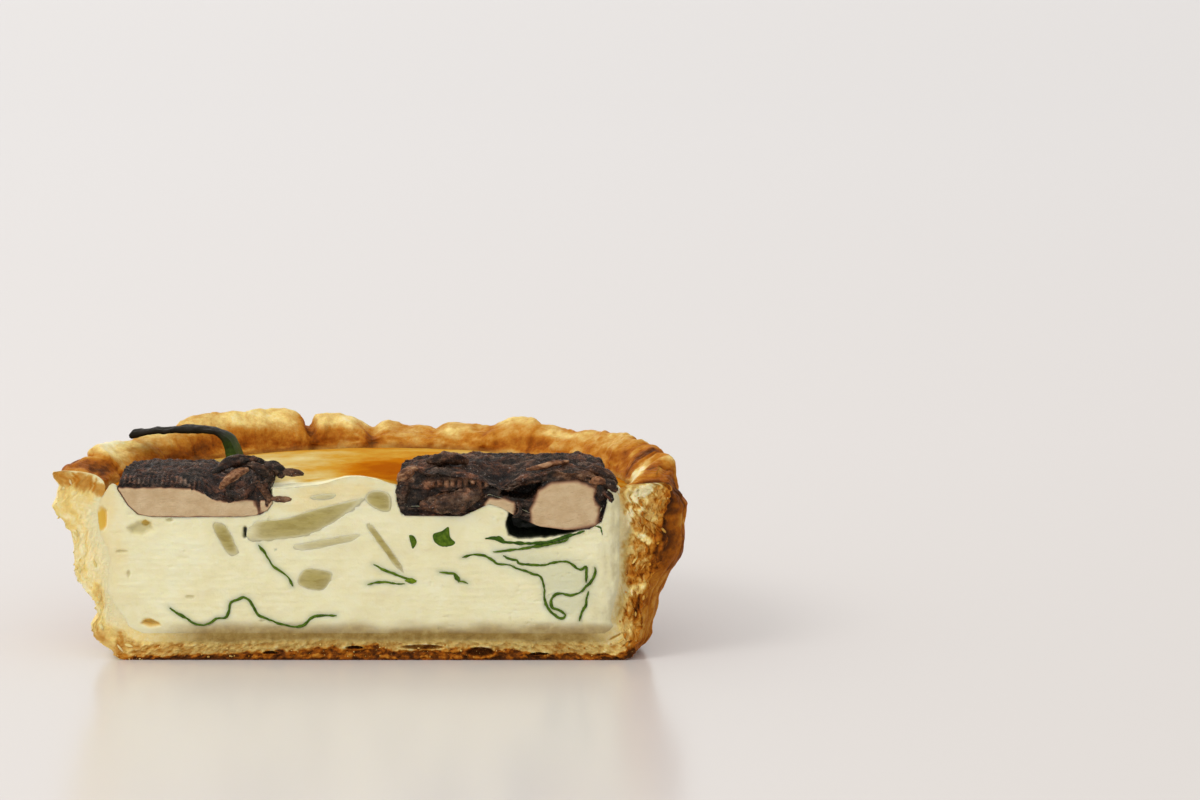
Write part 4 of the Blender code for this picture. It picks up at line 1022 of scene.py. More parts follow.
def crust_cut(outer, inner):
    """The cut face of the crust: golden at the left, flaky and brown at the right, blistered below."""
    share = np.linspace(0.0, 1.0, CUT_ROWS)[:, None]
    face = outer[None] + (inner - outer)[None] * share[..., None]
    along = distance_along((outer + inner) / 2)[None] + 0 * share
    thickness = np.linalg.norm(inner - outer, axis=1)[None]
    across = share * thickness
    inward = thickness - across
    x = face[..., 0]
    z = face[..., 2]
    sheet = at(along, across, 0.0)
    bent = sheet + at(0.5 * noise(sheet, (2.0, 2.0, 1.0), 5), 0.3 * noise(sheet, (2.0, 1.4, 1.0), 7), 0.0)
    plate, plate_edge = chips(bent, (2.8, 1.4), 11)
    flake, flake_edge = chips(bent, (1.1, 0.55), 13)
    crumb = layered(sheet, (0.9, 0.6, 1.0), 29, 3)
    pits = layered(sheet, (1.9, 1.2, 1.0), 47, 4, 0.6)
    cloud = layered(sheet, (6.0, 3.0, 1.0), 37, 3)
    grit = layered(sheet, (0.75, 0.65, 1.0), 49, 3, 0.6)
    streaks = layered(sheet, (6.0, 0.8, 1.0), 43, 3, 0.6)
    right = smooth_step(-10.0, 40.0, x)
    left = 1 - right
    floor = smooth_step(9.0, 5.0, z) * smooth_step(54.0, 45.0, np.abs(x))
    wall = 1 - floor
    brown_top = np.interp(x, *BROWN_BASE) * (1 + 0.25 * layered(at(along, 0.0, 0.0), 3.0, 41, 3))
    brown = smooth_step(0.30, -0.30, across - brown_top + 0.35 * crumb) * floor
    firm = smooth_step(0.7, 3.6, inward + 0.9 * cloud + 0.6 * pits)
    top_crumb = right * smooth_step(30.0, 32.0, z + 0.6 * cloud + 0.5 * pits)
    firm = np.maximum(firm, 0.62 * top_crumb)
    crumbly = floor * smooth_step(4.6, 3.2, across + 0.4 * cloud)
    rough = right * wall * (0.15 + 0.85 * firm) + crumbly * (0.3 + 0.3 * brown)
    plate_gap = smooth_step(0.10, 0.0, plate_edge)
    relief = 0.46 * pits + 0.10 * plate + 0.08 * flake + 0.16 * crumb
    relief = relief + 0.14 * plate_gap + 0.08 * smooth_step(0.10, 0.0, flake_edge)
    back = 0.03 + 0.07 * right + rough * relief
    back = back + 0.20 * crumbly * grit
    back = back + left * wall * (0.04 * streaks + 0.10 * crumb + 0.08 * cloud + 0.05 * pits)
    outside = smooth_step(1.3, 0.2, across + 0.4 * crumb)
    gold = smooth_step(6.0, 1.0, across + 0.6 * cloud)
    on_left = 0.05 + (0.12 + 0.05 * streaks + 0.06 * pits) * gold + 0.04 * cloud + 0.04 * pits
    on_left = on_left - 0.07 * bump_at(z, 17.5, 6.0) * gold
    on_left = on_left + 0.12 * smooth_step(14.0, 4.0, z)
    on_left = on_left + 0.08 * smooth_step(26.0, 32.0, z)
    on_right = 0.14 + 0.38 * firm + 0.16 * pits + 0.05 * crumb + 0.05 * grit + 0.16 * outside
    on_right = on_right - 0.15 * firm * smooth_step(23.0, 29.0, z)
    on_right = on_right - 0.10 * firm * smooth_step(0.50, 0.80, plate + 0.2 * crumb)
    on_right = on_right - 0.08 * firm * smooth_step(0.4, 0.9, flake)
    on_right = on_right + firm * (0.16 * smooth_step(-0.4, -0.8, plate) + 0.18 * plate_gap)
    tan_crumbs = 0.30 + 0.04 * flake + 0.05 * pits + 0.14 * grit
    on_base = 0.12 + crumbly * (tan_crumbs - 0.12)
    on_base = on_base + 0.07 * crumbly * smooth_step(-22.0, -40.0, x)
    on_base = on_base + brown * (0.47 + 0.10 * flake + 0.20 * smooth_step(0.8, 0.0, across) + 0.08 * cloud)
    bake = wall * (left * on_left + right * on_right) + floor * on_base
    for middle_x, middle_z, half_length, half_width, turn, change, lift in CRUST_SPOTS:
        spot = spot_at(x, z, middle_x, middle_z, half_length, half_width, turn, 0.22 * crumb + 0.15 * pits)
        bake = bake + change * spot
        back = back - lift * spot
    hollow, hollow_rim = base_blisters(x, z, floor)
    bake = bake + 0.36 * hollow - 0.16 * hollow_rim
    crest = smooth_step(0.0, 1.6, thickness)
    edge = smooth_step(0.0, 0.3, across) * smooth_step(0.0, 2.2, inward)
    back = (back + 1.3 * hollow - 0.22 * hollow_rim) * edge * crest
    face[..., 1] = face[..., 1] + np.maximum(back, -0.35)
    damp_base = floor * (1 - brown) * (1 - 0.55 * crumbly)
    soggy = damp_base * smooth_step(-46.0, -30.0, x) * smooth_step(50.0, 38.0, x)
    soggy = soggy + right * wall * (1 - firm) * (0.46 + 0.30 * smooth_step(0.1, 1.6, inward + 0.6 * pits))
    creamy = left * wall * smooth_step(3.4, 0.8, inward + 0.8 * cloud + 0.5 * streaks)
    creamy = np.maximum(creamy, right * wall * smooth_step(1.6, 0.1, inward + 0.5 * pits))
    creamy = creamy * smooth_step(0.40, 0.15, bake - 0.2 * right) * (1 - top_crumb)
    values = {
        "bake": np.clip(bake, 0.0, 0.98),
        "soggy": np.clip(soggy, 0, 1),
        "creamy": np.clip(creamy, 0, 1),
        "patchy": 0.45 + 0.35 * right + 0.2 * floor,
    }
    return face, values


def build_crust(material, shell, bake, soggy, outer, inner):
    shape = Shape("bake", "soggy", "creamy", "patchy")
    index = shape.sheet(shell, bake=bake, soggy=soggy, patchy=1.0)
    shape.fill(index[0])
    shape.make("crust_baked", material, "crust", "crust")
    face, values = crust_cut(outer, inner)
    cut = Shape("bake", "soggy", "creamy", "patchy")
    cut.sheet(face, flip=True, **values)
    cut.make("crust_cut", material, "crust")


def side_lines(inner):
    """The inner edge of the cut crust as a function of height: the right one and the left one."""
    sides = []
    for part in (inner[inner[:, 0] > 0], inner[inner[:, 0] < 0]):
        part = part[np.argsort(part[:, 2], kind="stable")]
        part = part[part[:, 2] > BASE_THICKNESS + 0.01]
        sides.append((part[:, 2], part[:, 0]))
    return sides


def side_at(sides, across, height):
    """How far out the custard goes at this height, on the side that across (-1 to 1) is on."""
    height = np.minimum(height, CUSTARD_EDGE)
    (right_z, right_x), (left_z, left_x) = sides
    return np.where(across >= 0, np.interp(height, right_z, right_x), np.interp(height, left_z, left_x))


def custard_height(x, y, share):
    """Height of the custard's top, where share is 0 at the middle of the cut and 1 at the crust."""
    place, rise, half_length, half_depth = MOUND
    mound = rise * np.exp(-(((x - place) / half_length) ** 2) - (y / half_depth) ** 2)
    uneven = TOP_RIPPLE * layered(at(x, y, 0.0), (13.0, 11.0, 9.0), 91, 3)
    fine = 0.12 * layered(at(x, y, 0.0), (2.4, 2.4, 2.0), 93, 3)
    height = CUSTARD_EDGE + (MIDDLE_HEIGHT - CUSTARD_EDGE) * (1 - share**6)
    for end_place, end_rise, end_length, end_depth in END_RISES:
        height = height + end_rise * bump_at(x, end_place, end_length) * bump_at(y, 0.0, end_depth)
    return height + (mound + uneven + fine) * (1 - share**4)


def under_cap(cap, x, y, height):
    """Lowers the custard's top to make room for a mushroom."""
    out = np.hypot((x - cap["middle"]) / cap["half_length"], y / cap["depth"])
    line = np.array(cap["under"])
    low = np.interp(x, line[:, 0], line[:, 1]) + SEAT_RISE
    inside = smooth_step(0.99, 0.93, out)
    return height * (1 - inside) + np.minimum(low, height) * inside


def custard_top(sides):
    """The domed, browned top, as rows from the crust in to the middle of the cut."""
    turns = np.linspace(0.0, 1.0, TOP_COLUMNS)
    rim = plan(turns, inner_radius(CUSTARD_EDGE) + 0.5, CUSTARD_EDGE + 0 * turns)
    for end, across in ((0, 1.0), (-1, -1.0)):
        shift = side_at(sides, across, CUSTARD_EDGE) - rim[end, 0]
        near = smooth_step(0.5, 0.0, turns) if end == 0 else smooth_step(0.5, 1.0, turns)
        rim[:, 0] += shift * np.exp(-((rim[:, 1] / RIGHT_REACH) ** 2)) * near
    shares = np.concatenate([np.linspace(*ring) for ring in TOP_RINGS])[:, None]
    x = shares * rim[None, :, 0]
    y = shares * rim[None, :, 1]
    height = custard_height(x, y, shares)
    for cap in (LEFT_CAP, RIGHT_CAP):
        height = under_cap(cap, x, y, height)
    return at(x, y, height), shares


def top_values(points, shares):
    """How browned the custard's top is."""
    x, y = points[..., 0], points[..., 1]
    uneven = layered(at(x, y, 0.0), (10.0, 8.0, 9.0), 95, 3)
    skin = 0.47 + 0.20 * smooth_step(0.75, 1.0, shares) + 0.14 * uneven
    patch = np.exp(-(((x - 3.0) / 10.0) ** 2) - ((y - 20.0) / 16.0) ** 2)
    skin = skin + 0.46 * patch - 0.10 * smooth_step(-4.0, -18.0, x) * smooth_step(0.98, 0.80, shares)
    ahead = smooth_step(-8.0, 2.0, x)
    fade = smooth_step(0.4, 12.0 - 9.5 * ahead, y + (2.4 - ahead) * layered(at(x, y, 0.0), 3.4, 97, 3))
    return np.clip(skin * fade, 0, 1)


def face_grid(sides):
    """Places on the cut face of the custard, up to the top's front edge and out to the crust."""
    columns = int(round(FACE_LENGTH / FACE_STEP))
    rows = int(round(FACE_HEIGHT / FACE_STEP))
    rise = np.linspace(0.0, 1.0, rows)[:, None]
    across = np.sin(0.5 * math.pi * np.linspace(-1.0, 1.0, columns) * FACE_SPREAD)
    across = (across / math.sin(0.5 * math.pi * FACE_SPREAD))[None]
    top_x = np.abs(across) * side_at(sides, across, CUSTARD_EDGE)
    top_z = custard_height(top_x, 0 * top_x, np.abs(across))
    for cap in (LEFT_CAP, RIGHT_CAP):
        top_z = under_cap(cap, top_x, 0 * top_x, top_z)
    z = BASE_THICKNESS + (top_z - BASE_THICKNESS) * rise
    x = np.abs(across) * side_at(sides, across, z)
    return x, z, rise, across


def custard_face(sides):
    """The cut face, with knife marks, bubbles, hollows and a seat round each piece that it holds."""
    x, z, rise, across = face_grid(sides)
    flat = at(x, z, 0.0)
    inward = np.abs(side_at(sides, across, z)) - np.abs(x)
    back = 0.10 * layered(flat, (7.0, 4.0, 1.0), 101, 3) + 0.035 * layered(flat, (1.3, 0.7, 1.0), 103, 3)
    back = back + 0.03 * layered(flat, (6.0, 0.5, 1.0), 105, 2)
    tints = {
        "yolk": 0.18 * smooth_step(0.2, 0.9, noise(flat, (9.0, 5.0, 1.0), 107)) * smooth_step(10.0, -50.0, x),
        "olive": 0 * x,
        "dark": 0 * x,
        "leafy": 0 * x,
    }
    for line in SHREDS.values():
        gap = line_distance(x, z, curve_through(line, 0.8))
        tints["leafy"] = np.maximum(tints["leafy"], 0.55 * np.exp(-((gap / 0.75) ** 2)))
        back = back + 0.10 * np.exp(-((gap / 0.45) ** 2))
    cluster = outline_distance(x, z, CLUSTER)
    tints["leafy"] = np.maximum(tints["leafy"], 0.46 * smooth_step(1.6, -1.6, cluster))
    for outline in list(SCRAPS.values()) + list(ONIONS.values()):
        gap = outline_distance(x, z, curve_through(outline, 0.6, closed=True))
        back = back + 0.9 * smooth_step(-0.04, -0.50, gap)
    for outline, depth in HOLLOWS:
        gap = outline_distance(x, z, outline) + 0.15 * noise(flat, 0.9, 109)
        back = back + depth * smooth_step(0.1, -0.9, gap)
        # The deepest hollow is painted near black: partly dark leaf, partly painted shade.
        if depth > 5:
            tints["dark"] = np.maximum(tints["dark"], smooth_step(0.10, -0.15, gap))
        elif depth > 1:
            tints["yolk"] = np.maximum(tints["yolk"], 0.75 * smooth_step(0.2, -0.4, gap))
        else:
            tints["olive"] = np.maximum(tints["olive"], 0.55 * smooth_step(0.6, -1.0, gap))
    for bubble_x, bubble_z, half_width, half_height, depth, tint in BUBBLES:
        out = np.hypot((x - bubble_x) / half_width, (z - bubble_z) / half_height)
        out = out + 0.2 * noise(flat, 0.7, 113)
        back = back + depth * np.sqrt(np.clip(1 - out**2, 0, 1))
        strength = 0.45 if tint == "olive" else 0.95
        tints[tint] = np.maximum(tints[tint], strength * smooth_step(1.25, 0.55, out))
    fine_holes = smooth_step(0.62, 0.85, noise(flat, (0.8, 0.6, 1.0), 127))
    back = back + 0.16 * (fine_holes * smooth_step(-0.2, 0.6, noise(flat, 8.0, 131)))
    damp = smooth_step(8.2, 4.8, z + 0.7 * noise(flat, (5.0, 1.5, 1.0), 137)) * smooth_step(-47.0, -30.0, x)
    soaked = inward + 0.9 * noise(flat, 2.6, 139) + 0.9 * layered(flat, (0.8, 1.8, 1.0), 143, 4, 0.6)
    soaked = 0.14 * smooth_step(4.8, 1.5, soaked) + 0.30 * smooth_step(2.2, 0.0, soaked)
    soaked = soaked * smooth_step(20.0, 40.0, x)
    damp = np.maximum(damp, soaked)
    tints["leafy"] = np.maximum(tints["leafy"], 0.9 * soaked)
    edge = smooth_step(0.0, 0.04, rise) * smooth_step(0.0, 2.2, inward)
    back = np.maximum(back, -0.25) * edge
    for cap in (LEFT_CAP, RIGHT_CAP):
        beside = np.abs(x - cap["middle"]) - cap["half_length"]
        behind = smooth_step(-0.02, 0.25, z - cap_line(cap, "under", x)) * smooth_step(0.0, -0.3, beside)
        back = back + 1.6 * behind
    face = at(x, back, z)
    gold = smooth_step(5.0, 0.0, inward + 1.2 * noise(flat, (1.2, 5.0, 1.0), 141))
    gold = gold * smooth_step(-30.0, -45.0, x)
    tints["yolk"] = np.maximum(tints["yolk"], 0.30 * gold * smooth_step(8.0, 24.0, z))
    haze = spot_at(x, z, -8.5, 31.0, 9.0, 3.2, 0.15, 0.35 * layered(flat, (2.4, 1.2, 1.0), 145, 3))
    tints["yolk"] = np.maximum(tints["yolk"], 0.26 * haze)
    tints["damp"] = damp
    return face, {key: np.clip(tint, 0, 1) for key, tint in tints.items()}


def build_custard(material, skin_look, sides):
    shape = Shape("damp", "leafy", "yolk", "olive", "dark")
    face, values = custard_face(sides)
    shape.sheet(face, **values)
    turns = np.linspace(0.0, 1.0, WALL_COLUMNS)
    wall = [plan(turns, inner_radius(height) + 0.5, height + 0 * turns) for height in INNER_HEIGHTS[7::-1]]
    shape.sheet(np.array(wall)[:, 1:-1])
    shape.make("custard_filling", material, "custard", "custard")
    top, shares = custard_top(sides)
    skin = Shape("skin")
    skin.sheet(top, flip=True, skin=top_values(top, shares))
    skin.make("custard_skin", skin_look, "custard")


def cap_line(cap, side, x):
    line = np.array(cap[side])
    return np.interp(x, line[:, 0], line[:, 1])


def cap_top(cap, wrinkle):
    """The gill side of a mushroom behind the cut: columns along the cut, rows from the cut back."""
    across = np.sin(np.linspace(-0.5 * math.pi, 0.5 * math.pi, CAP_COLUMNS))[None]
    back = (np.linspace(0.0, 1.0, CAP_ROWS) ** 1.15)[:, None]
    x = cap["middle"] + across * cap["half_length"] * np.ones_like(back)
    reach = cap["depth"] * np.clip(1 - across**6, 0.0, 1.0) ** 0.34
    y = back * reach
    front = cap_line(cap, "over", x)
    level = 1 - np.exp(-((y / LEVEL_DEPTH) ** 2))
    height = front + (cap["back_height"] - front) * level
    lump_x, lump_y, lump_height, spread = cap["lump"]
    height = height + lump_height * np.exp(-((x - lump_x) ** 2 + (y - lump_y) ** 2) / spread**2)
    height, ridge = wrinkle(x, y, height)
    drop = np.maximum(smooth_step(0.88, 1.0, back), smooth_step(0.97, 1.0, np.abs(across)))
    height = height - 3.2 * (drop * smooth_step(0.5, 3.0, y))
    return at(x, y, height), ridge


def left_wrinkles(x, y, height):
    """Fine upright gills at the front, then a wrinkled dark top with a heap of twisted bits at the right."""
    place = at(x, y, 0.0)
    gills = np.sin(x * 7.2 + 1.2 * noise(place, 2.0, 151))
    front = smooth_step(6.0, 0.5, y) * smooth_step(-30.0, -33.0, x)
    rise = 1.0 * smooth_step(0.0, 1.6, y) * smooth_step(-29.0, -33.0, x)
    heap = smooth_step(-31.0, -27.0, x)
    folds = ridged(at(x + 0.5 * y, y, 0.0), (4.2, 2.4, 2.0), 153, 5, 0.6)
    fine = ridged(place, (1.5, 1.2, 1.0), 157, 4, 0.6)
    height = height + rise + 0.16 * front * gills + 1.3 * (folds - 0.5) * (0.6 + heap) + 0.8 * (fine - 0.5)
    height = height + 1.4 * heap * layered(place, (3.2, 2.6, 2.0), 159, 4) * smooth_step(0.0, 1.5, y)
    # ridge is high on the crests; the material paints crests paler and troughs near black, partly as painted
    # highlight and shade.
    ridge = 0.70 * folds + 0.55 * fine + 0.25 * front * gills - 0.22
    return height, ridge


def right_wrinkles(x, y, height):
    """Long strands that run with the cut, as a cap that has shrunk and folded."""
    place = at(x, y, 0.0)
    bend = y + 1.2 * noise(place, (7.0, 5.0, 3.0), 161)
    strands = ridged(at(x, bend, 0.0), (9.0, 2.2, 2.0), 163, 5, 0.6)
    fine = ridged(at(x, bend, 0.0), (2.4, 1.0, 1.0), 167, 4, 0.6)
    fold = layered(place, (6.0, 4.0, 3.0), 169, 3)
    height = height + 1.6 * (strands - 0.5) + 0.8 * (fine - 0.5) + 0.7 * fold * smooth_step(0.0, 2.0, y)
    # ridge is high on the crests; the material paints crests paler and troughs near black, partly as painted
    # highlight and shade.
    return height, 0.75 * strands + 0.5 * fine - 0.2


def cap_face(cap, top_front, features):
    """The cut face of a mushroom, from its underside up to the front edge of its top."""
    x = top_front[None, :, 0]
    low = cap_line(cap, "under", x)
    high = np.maximum(top_front[None, :, 2], low + 0.02)
    share = np.linspace(0.0, 1.0, CAP_FACE_ROWS)[:, None]
    z = low + (high - low) * share
    x = x + 0 * share
    back, flesh, ridge, tan = features(x, z)
    edge = smooth_step(0.0, 0.04, share) * smooth_step(1.0, 0.96, share)
    return at(x, -0.12 + back * edge, z), flesh, ridge, tan


def left_features(x, z):
    """Pale flesh with a thin brown skin below it and dark gills above."""
    place = at(x, z, 0.0)
    over_skin = z - cap_line(LEFT_CAP, "under", x)
    flesh_top = edge_offset(LEFT_FLESH_TOP, x) + 0.18 * noise(place, 0.8, 171)
    skin = smooth_step(-0.05, 0.32, over_skin + 0.10 * noise(place, 0.8, 173))
    skin = skin * smooth_step(0.05, 0.50, x - edge_offset(LEFT_SKIN, z))
    flesh = smooth_step(-0.1, 0.7, flesh_top - z) * (0.32 + 0.68 * skin)
    stains = smooth_step(0.1, 0.6, noise(place, (0.8, 2.2, 1.0), 179)) * smooth_step(-24.5, -21.5, x)
    flesh = flesh * (1 - 0.8 * stains)
    back = 0.05 * layered(place, 2.0, 181, 3) + 0.10 * (1 - flesh)
    ridge = 0.35 + 0.4 * noise(place, (0.5, 2.0, 1.0), 183)
    return back, np.clip(flesh, 0, 1), ridge, 0 * x


def right_features(x, z):
    """Two patches of pale flesh, a hollow between them painted dark as shade, and brown layered gills at the
    left.
    """
    place = at(x, z, 0.0)
    wobble = 0.3 * noise(place, 1.2, 191)
    first = outline_distance(x, z, FIRST_FLESH) + wobble
    second = outline_distance(x, z, SECOND_FLESH) + 0.6 * wobble
    flesh = np.maximum(smooth_step(0.4, -0.7, first), smooth_step(0.7, -1.0, second))
    hollow = outline_distance(x, z, SHADED_HOLLOW) + wobble
    layers = noise(at(x, z + 0.05 * x, 0.0), (4.0, 0.55, 1.0), 193)
    slits = smooth_step(0.2, 0.8, np.sin(x * 5.0 + 0.6 * noise(place, 1.5, 195))) * bump_at(z, 34.0, 0.6)
    slits = slits * smooth_step(10.5, 12.5, x) * smooth_step(24.0, 22.0, x)
    band = bump_at(z, 34.2, 0.8) * smooth_step(8.0, 11.0, x) * smooth_step(24.0, 20.0, x)
    rough = layered(place, (1.6, 0.9, 1.0), 197, 4, 0.6)
    back = (0.35 - 0.35 * layers - 0.35 * rough) * (1 - flesh) + 0.6 * slits
    back = back + 3.0 * smooth_step(0.2, -0.8, hollow)
    ridge = 0.35 + 0.30 * layers + 0.25 * rough + 0.35 * band - 0.9 * slits
    # Painted shade: the hollow is made near black.
    ridge = ridge - 0.9 * smooth_step(0.2, -0.6, hollow)
    highlight = spot_at(x, z, 6.0, 35.4, 1.5, 0.7, -0.6, 0.3 * rough)
    stem = spot_at(x, z, 42.0, 33.4, 1.8, 1.2, 0.5, 0.3 * rough)
    reddish = spot_at(x, z, 36.5, 35.6, 3.5, 1.0, -0.1, 0.4 * rough)
    dark_spot = spot_at(x, z, 42.6, 31.4, 1.6, 1.3, 0.6, 0.2 * rough)
    flesh = flesh * (1 - 0.8 * dark_spot)
    ridge = ridge + 0.6 * highlight - 0.6 * dark_spot
    tan = np.maximum(0.45 * band * (1 - slits), np.maximum(0.8 * stem, 0.45 * reddish))
    return back, np.clip(flesh, 0, 1), np.clip(ridge, 0, 1), np.maximum(tan, 0.5 * highlight)


def build_mushroom(cap, wrinkle, features):
    """A mushroom slice half sunk in the custard, gills up and cut through."""
    top, ridge = cap_top(cap, wrinkle)
    face, flesh, face_ridge, tan = cap_face(cap, top[0], features)
    top[0, :, 1] = face[-1, :, 1]
    shape = Shape("flesh", "ridge", "tan")
    shape.sheet(top, ridge=np.clip(ridge, 0, 1))
    below = top[::6, ::3].copy()
    low = cap_line(cap, "under", below[..., 0])
    inner_part = smooth_step(0.0, 1.5, below[..., 2] - low)
    below[1:, :, 2] = (low + (below[..., 2] - low) * (1 - inner_part))[1:]
    below[0, :, 2] = low[0]
    shape.sheet(below, flip=True, ridge=0.2)
    shape.sheet(face, flesh=flesh, ridge=np.clip(face_ridge, 0, 1), tan=tan)
    return shape


def add_twist(shape, points, radius, seed, flat=0.8, **values):
    """A shrunken strand: a tube along a line, thick in its middle, with creases along it."""
    path = curve_through(points, 0.22)
    reach = distance_along(path)
    along = np.gradient(path, axis=0)
    along = along / np.linalg.norm(along, axis=1, keepdims=True)
    side = np.cross(along, (0.0, 1.0, 0.0))
    side = side / np.linalg.norm(side, axis=1, keepdims=True)
    other = np.cross(side, along)
    turn = np.linspace(0, 2 * math.pi, 28, endpoint=False)[None]
    taper = np.sqrt(np.clip(np.sin(math.pi * (0.04 + 0.92 * reach / reach[-1])), 0, 1))[:, None]
    place = at(0.5 * reach[:, None], 1.4 * np.cos(turn), 1.4 * np.sin(turn))
    grow = radius * taper * (1 + 0.35 * layered(place, 1.1, seed, 4, 0.6))
    points = path[:, None] + (grow * np.cos(turn))[..., None] * side[:, None]
    points = points + flat * (grow * np.sin(turn))[..., None] * other[:, None]
    ridge = np.clip(0.42 + 0.4 * layered(place, 0.8, seed + 3, 3), 0, 1)
    index = shape.sheet(points, round_columns=True, ridge=ridge, **values)
    shape.fill(index[0][:-1], flip=True)
    shape.fill(index[-1][:-1])


def build_mushrooms(material):
    caps = (("left", LEFT_CAP, left_wrinkles, left_features, LEFT_STRANDS),
            ("right", RIGHT_CAP, right_wrinkles, right_features, RIGHT_STRANDS))
    for side, cap, wrinkle, features, strands in caps:
        shape = build_mushroom(cap, wrinkle, features)
        for points, radius, tan, seed in strands:
            add_twist(shape, points, radius, seed, tan=tan)
        shape.make("mushroom_" + side + "_roasted", material, "mushroom", "mushroom_" + side)


def sideways(line):
    """Unit directions across an open line."""
    along = np.gradient(line, axis=0)
    along = along / np.maximum(np.linalg.norm(along, axis=1, keepdims=True), 1e-9)
    return np.stack((-along[:, 1], along[:, 0]), axis=1)


def add_ribbon(shape, points, thickness, front, back, seed, jitter=0.07, **values):
    """A thin leaf seen edge on: it runs back from its line on the cut, with a rough rounded front edge."""
    line = curve_through(points, 0.16)
    reach = distance_along(line)
    place = at(reach, 0.0, 0.0)
    across = sideways(line)
    line = line + across * (jitter * layered(place, 0.9, seed, 3))[:, None]
    half = thickness / 2 * (1 + 0.45 * layered(place, 1.4, seed + 3, 3))
    taper = np.minimum(smooth_step(-0.05, 0.9, reach), smooth_step(-0.05, 0.9, reach[-1] - reach))
    half = np.maximum(half * (0.35 + 0.65 * taper), 0.05)
    profile = ((1.0, back), (1.0, front + 0.35), (0.85, front + 0.08), (0.45, front), (-0.45, front),
               (-0.85, front + 0.08), (-1.0, front + 0.35), (-1.0, back))
    uneven = 0.10 * layered(place, 0.7, seed + 5, 3)
    rows = []
    for side, y in profile:
        shift = across * (side * half)[:, None]
        depth = np.full(len(line), y) + (uneven if y < back else 0.0)
        rows.append(at(line[:, 0] + shift[:, 0], depth, line[:, 1] + shift[:, 1]))
    shape.sheet(np.array(rows), **values)
    ends = np.array(rows)
    for end in (0, -1):
        shape.sheet(np.stack((ends[:4, end], ends[:3:-1, end])), flip=end == 0, **values)


def build_shreds(material):
    for i, (name, line) in enumerate(SHREDS.items()):
        shape = Shape("bright")
        bright = 0.22 if "cluster" in name or name == "spinach_long" else 0.40
        add_ribbon(shape, line, SHRED_THICKNESS, SHRED_FRONT, SHRED_BACK, 300 + 11 * i, bright=bright)
        for joined_to, points, thickness, front, back, seed, lit in SHRED_BITS:
            if joined_to == name:
                add_ribbon(shape, points, thickness, front, back, seed, bright=lit)
        shape.make(name + "_leaf", material, "spinach", name)


def add_slab(shape, outline, front, back, crown, seed, key, low, high):
    """A rounded piece set in the cut, with a named value that goes from low at its edge to high inside."""
    ring = curve_through(outline, 0.30, closed=True)
    centre = ring.mean(axis=0)
    ring = ring + 0.10 * noise(at(ring[:, 0], ring[:, 1], 0.0), 1.2, seed)[:, None]
    narrow = np.linalg.norm(ring - centre, axis=1).min()
    rows = []
    marks = []
    # How far in each ring is, its place from front to back, and its mark
    profile = ((-0.15, back, 0.3), (-0.15, front + 0.09, 0.3), (0.08, front + 0.02, 0.50),
               (0.30, front, 0.85), (0.45, front - 0.5 * crown, 0.95), (0.70, front - 0.9 * crown, 1.0),
               (0.97, front - crown, 1.0))
    for inset, y, mark in profile:
        kept = 1 - inset * min(1.0, narrow) / narrow if inset < 0.4 else 1 - inset
        flat = centre + (ring - centre) * kept
        uneven = 0.04 * layered(at(flat[:, 0], flat[:, 1], 0.0), 1.5, seed + 3, 2) if inset > 0.2 else 0.0
        rows.append(at(flat[:, 0], y + uneven, flat[:, 1]))
        marks.append(np.full(len(ring), low + (high - low) * mark))
    index = shape.sheet(np.array(rows), round_columns=True, **{key: np.array(marks)})
    shape.fill(index[-1][:-1])


def build_onions(material):
    for i, (name, outline) in enumerate(ONIONS.items()):
        shape = Shape("deep")
        high = 0.55 if name in ("onion_crescent", "onion_sliver") else 0.95
        add_slab(shape, outline, -0.02, 3.0, 0.06, 401 + 13 * i, "deep", 0.0, high)
        shape.make(name + "_cooked", material, "onion", name, outward=True)


def build_scraps(material):
    for i, (name, outline) in enumerate(SCRAPS.items()):
        shape = Shape("bright")
        add_slab(shape, outline, -0.06, 2.2, 0.20, 501 + 13 * i, "bright", 0.05, 0.38)
        shape.make(name + "_leaf", material, "spinach", name, outward=True)


def build_top_leaf(material):
    """The dark curled leaf that stands behind the left mushroom."""
    line = curve_through(TOP_LEAF, 0.25)
    reach = distance_along(line)
    across = sideways(line)
    place = at(reach, 0.0, 0.0)
    half = 0.37 * (1 + 0.25 * layered(place, 2.6, 601, 3)) * (1 + 0.6 * smooth_step(2.4, 0.6, reach))
    half = half * (1 + 1.9 * smooth_step(17.5, 22.5, reach)) * smooth_step(-0.4, 0.5, reach)
    depth = np.linspace(0.0, 1.0, 14)[:, None]
    curl = 0.7 * (depth - 0.5) ** 2 * 4
    sheets = []
    for side in (1, -1):
        x = line[None, :, 0] + side * (across[:, 0] * half)[None] + 0.8 * depth
        z = line[None, :, 1] + side * (across[:, 1] * half)[None] - 0.55 * curl
        z = z + 0.22 * layered(at(reach[None] + 0 * depth, depth * 4.0, 0.0), (2.0, 2.0, 1.0), 607, 3)
        y = TOP_LEAF_FRONT + depth * (TOP_LEAF_BACK - TOP_LEAF_FRONT) + 0 * x
        y = y + 0.30 * noise(at(reach[None] + 0 * depth, 0.0, 0.0), 1.6, 611) * (1 - depth)
        sheets.append(at(x, y, z))
    bright = smooth_step(17.0, 22.0, reach)[None] * np.ones_like(depth)
    shape = Shape("bright", "charred")
    charred = 1.0 - 0.48 * bright
    shape.sheet(sheets[0], bright=0.15 * bright, charred=charred)
    shape.sheet(sheets[1], flip=True, bright=0.15 * bright, charred=charred)
    for row, one, other in ((0, 1, 0), (-1, 0, 1)):
        rim = np.stack((sheets[one][row], sheets[other][row]))
        shape.sheet(rim, charred=np.stack((charred[0], charred[0])))
    for end in (0, -1):
        shape.sheet(np.stack((sheets[0][:, end], sheets[1][:, end])), charred=charred[0, end])
    shape.make("leaf_top_curled", material, "spinach", "leaf_top", weld=0.005, outward=True)


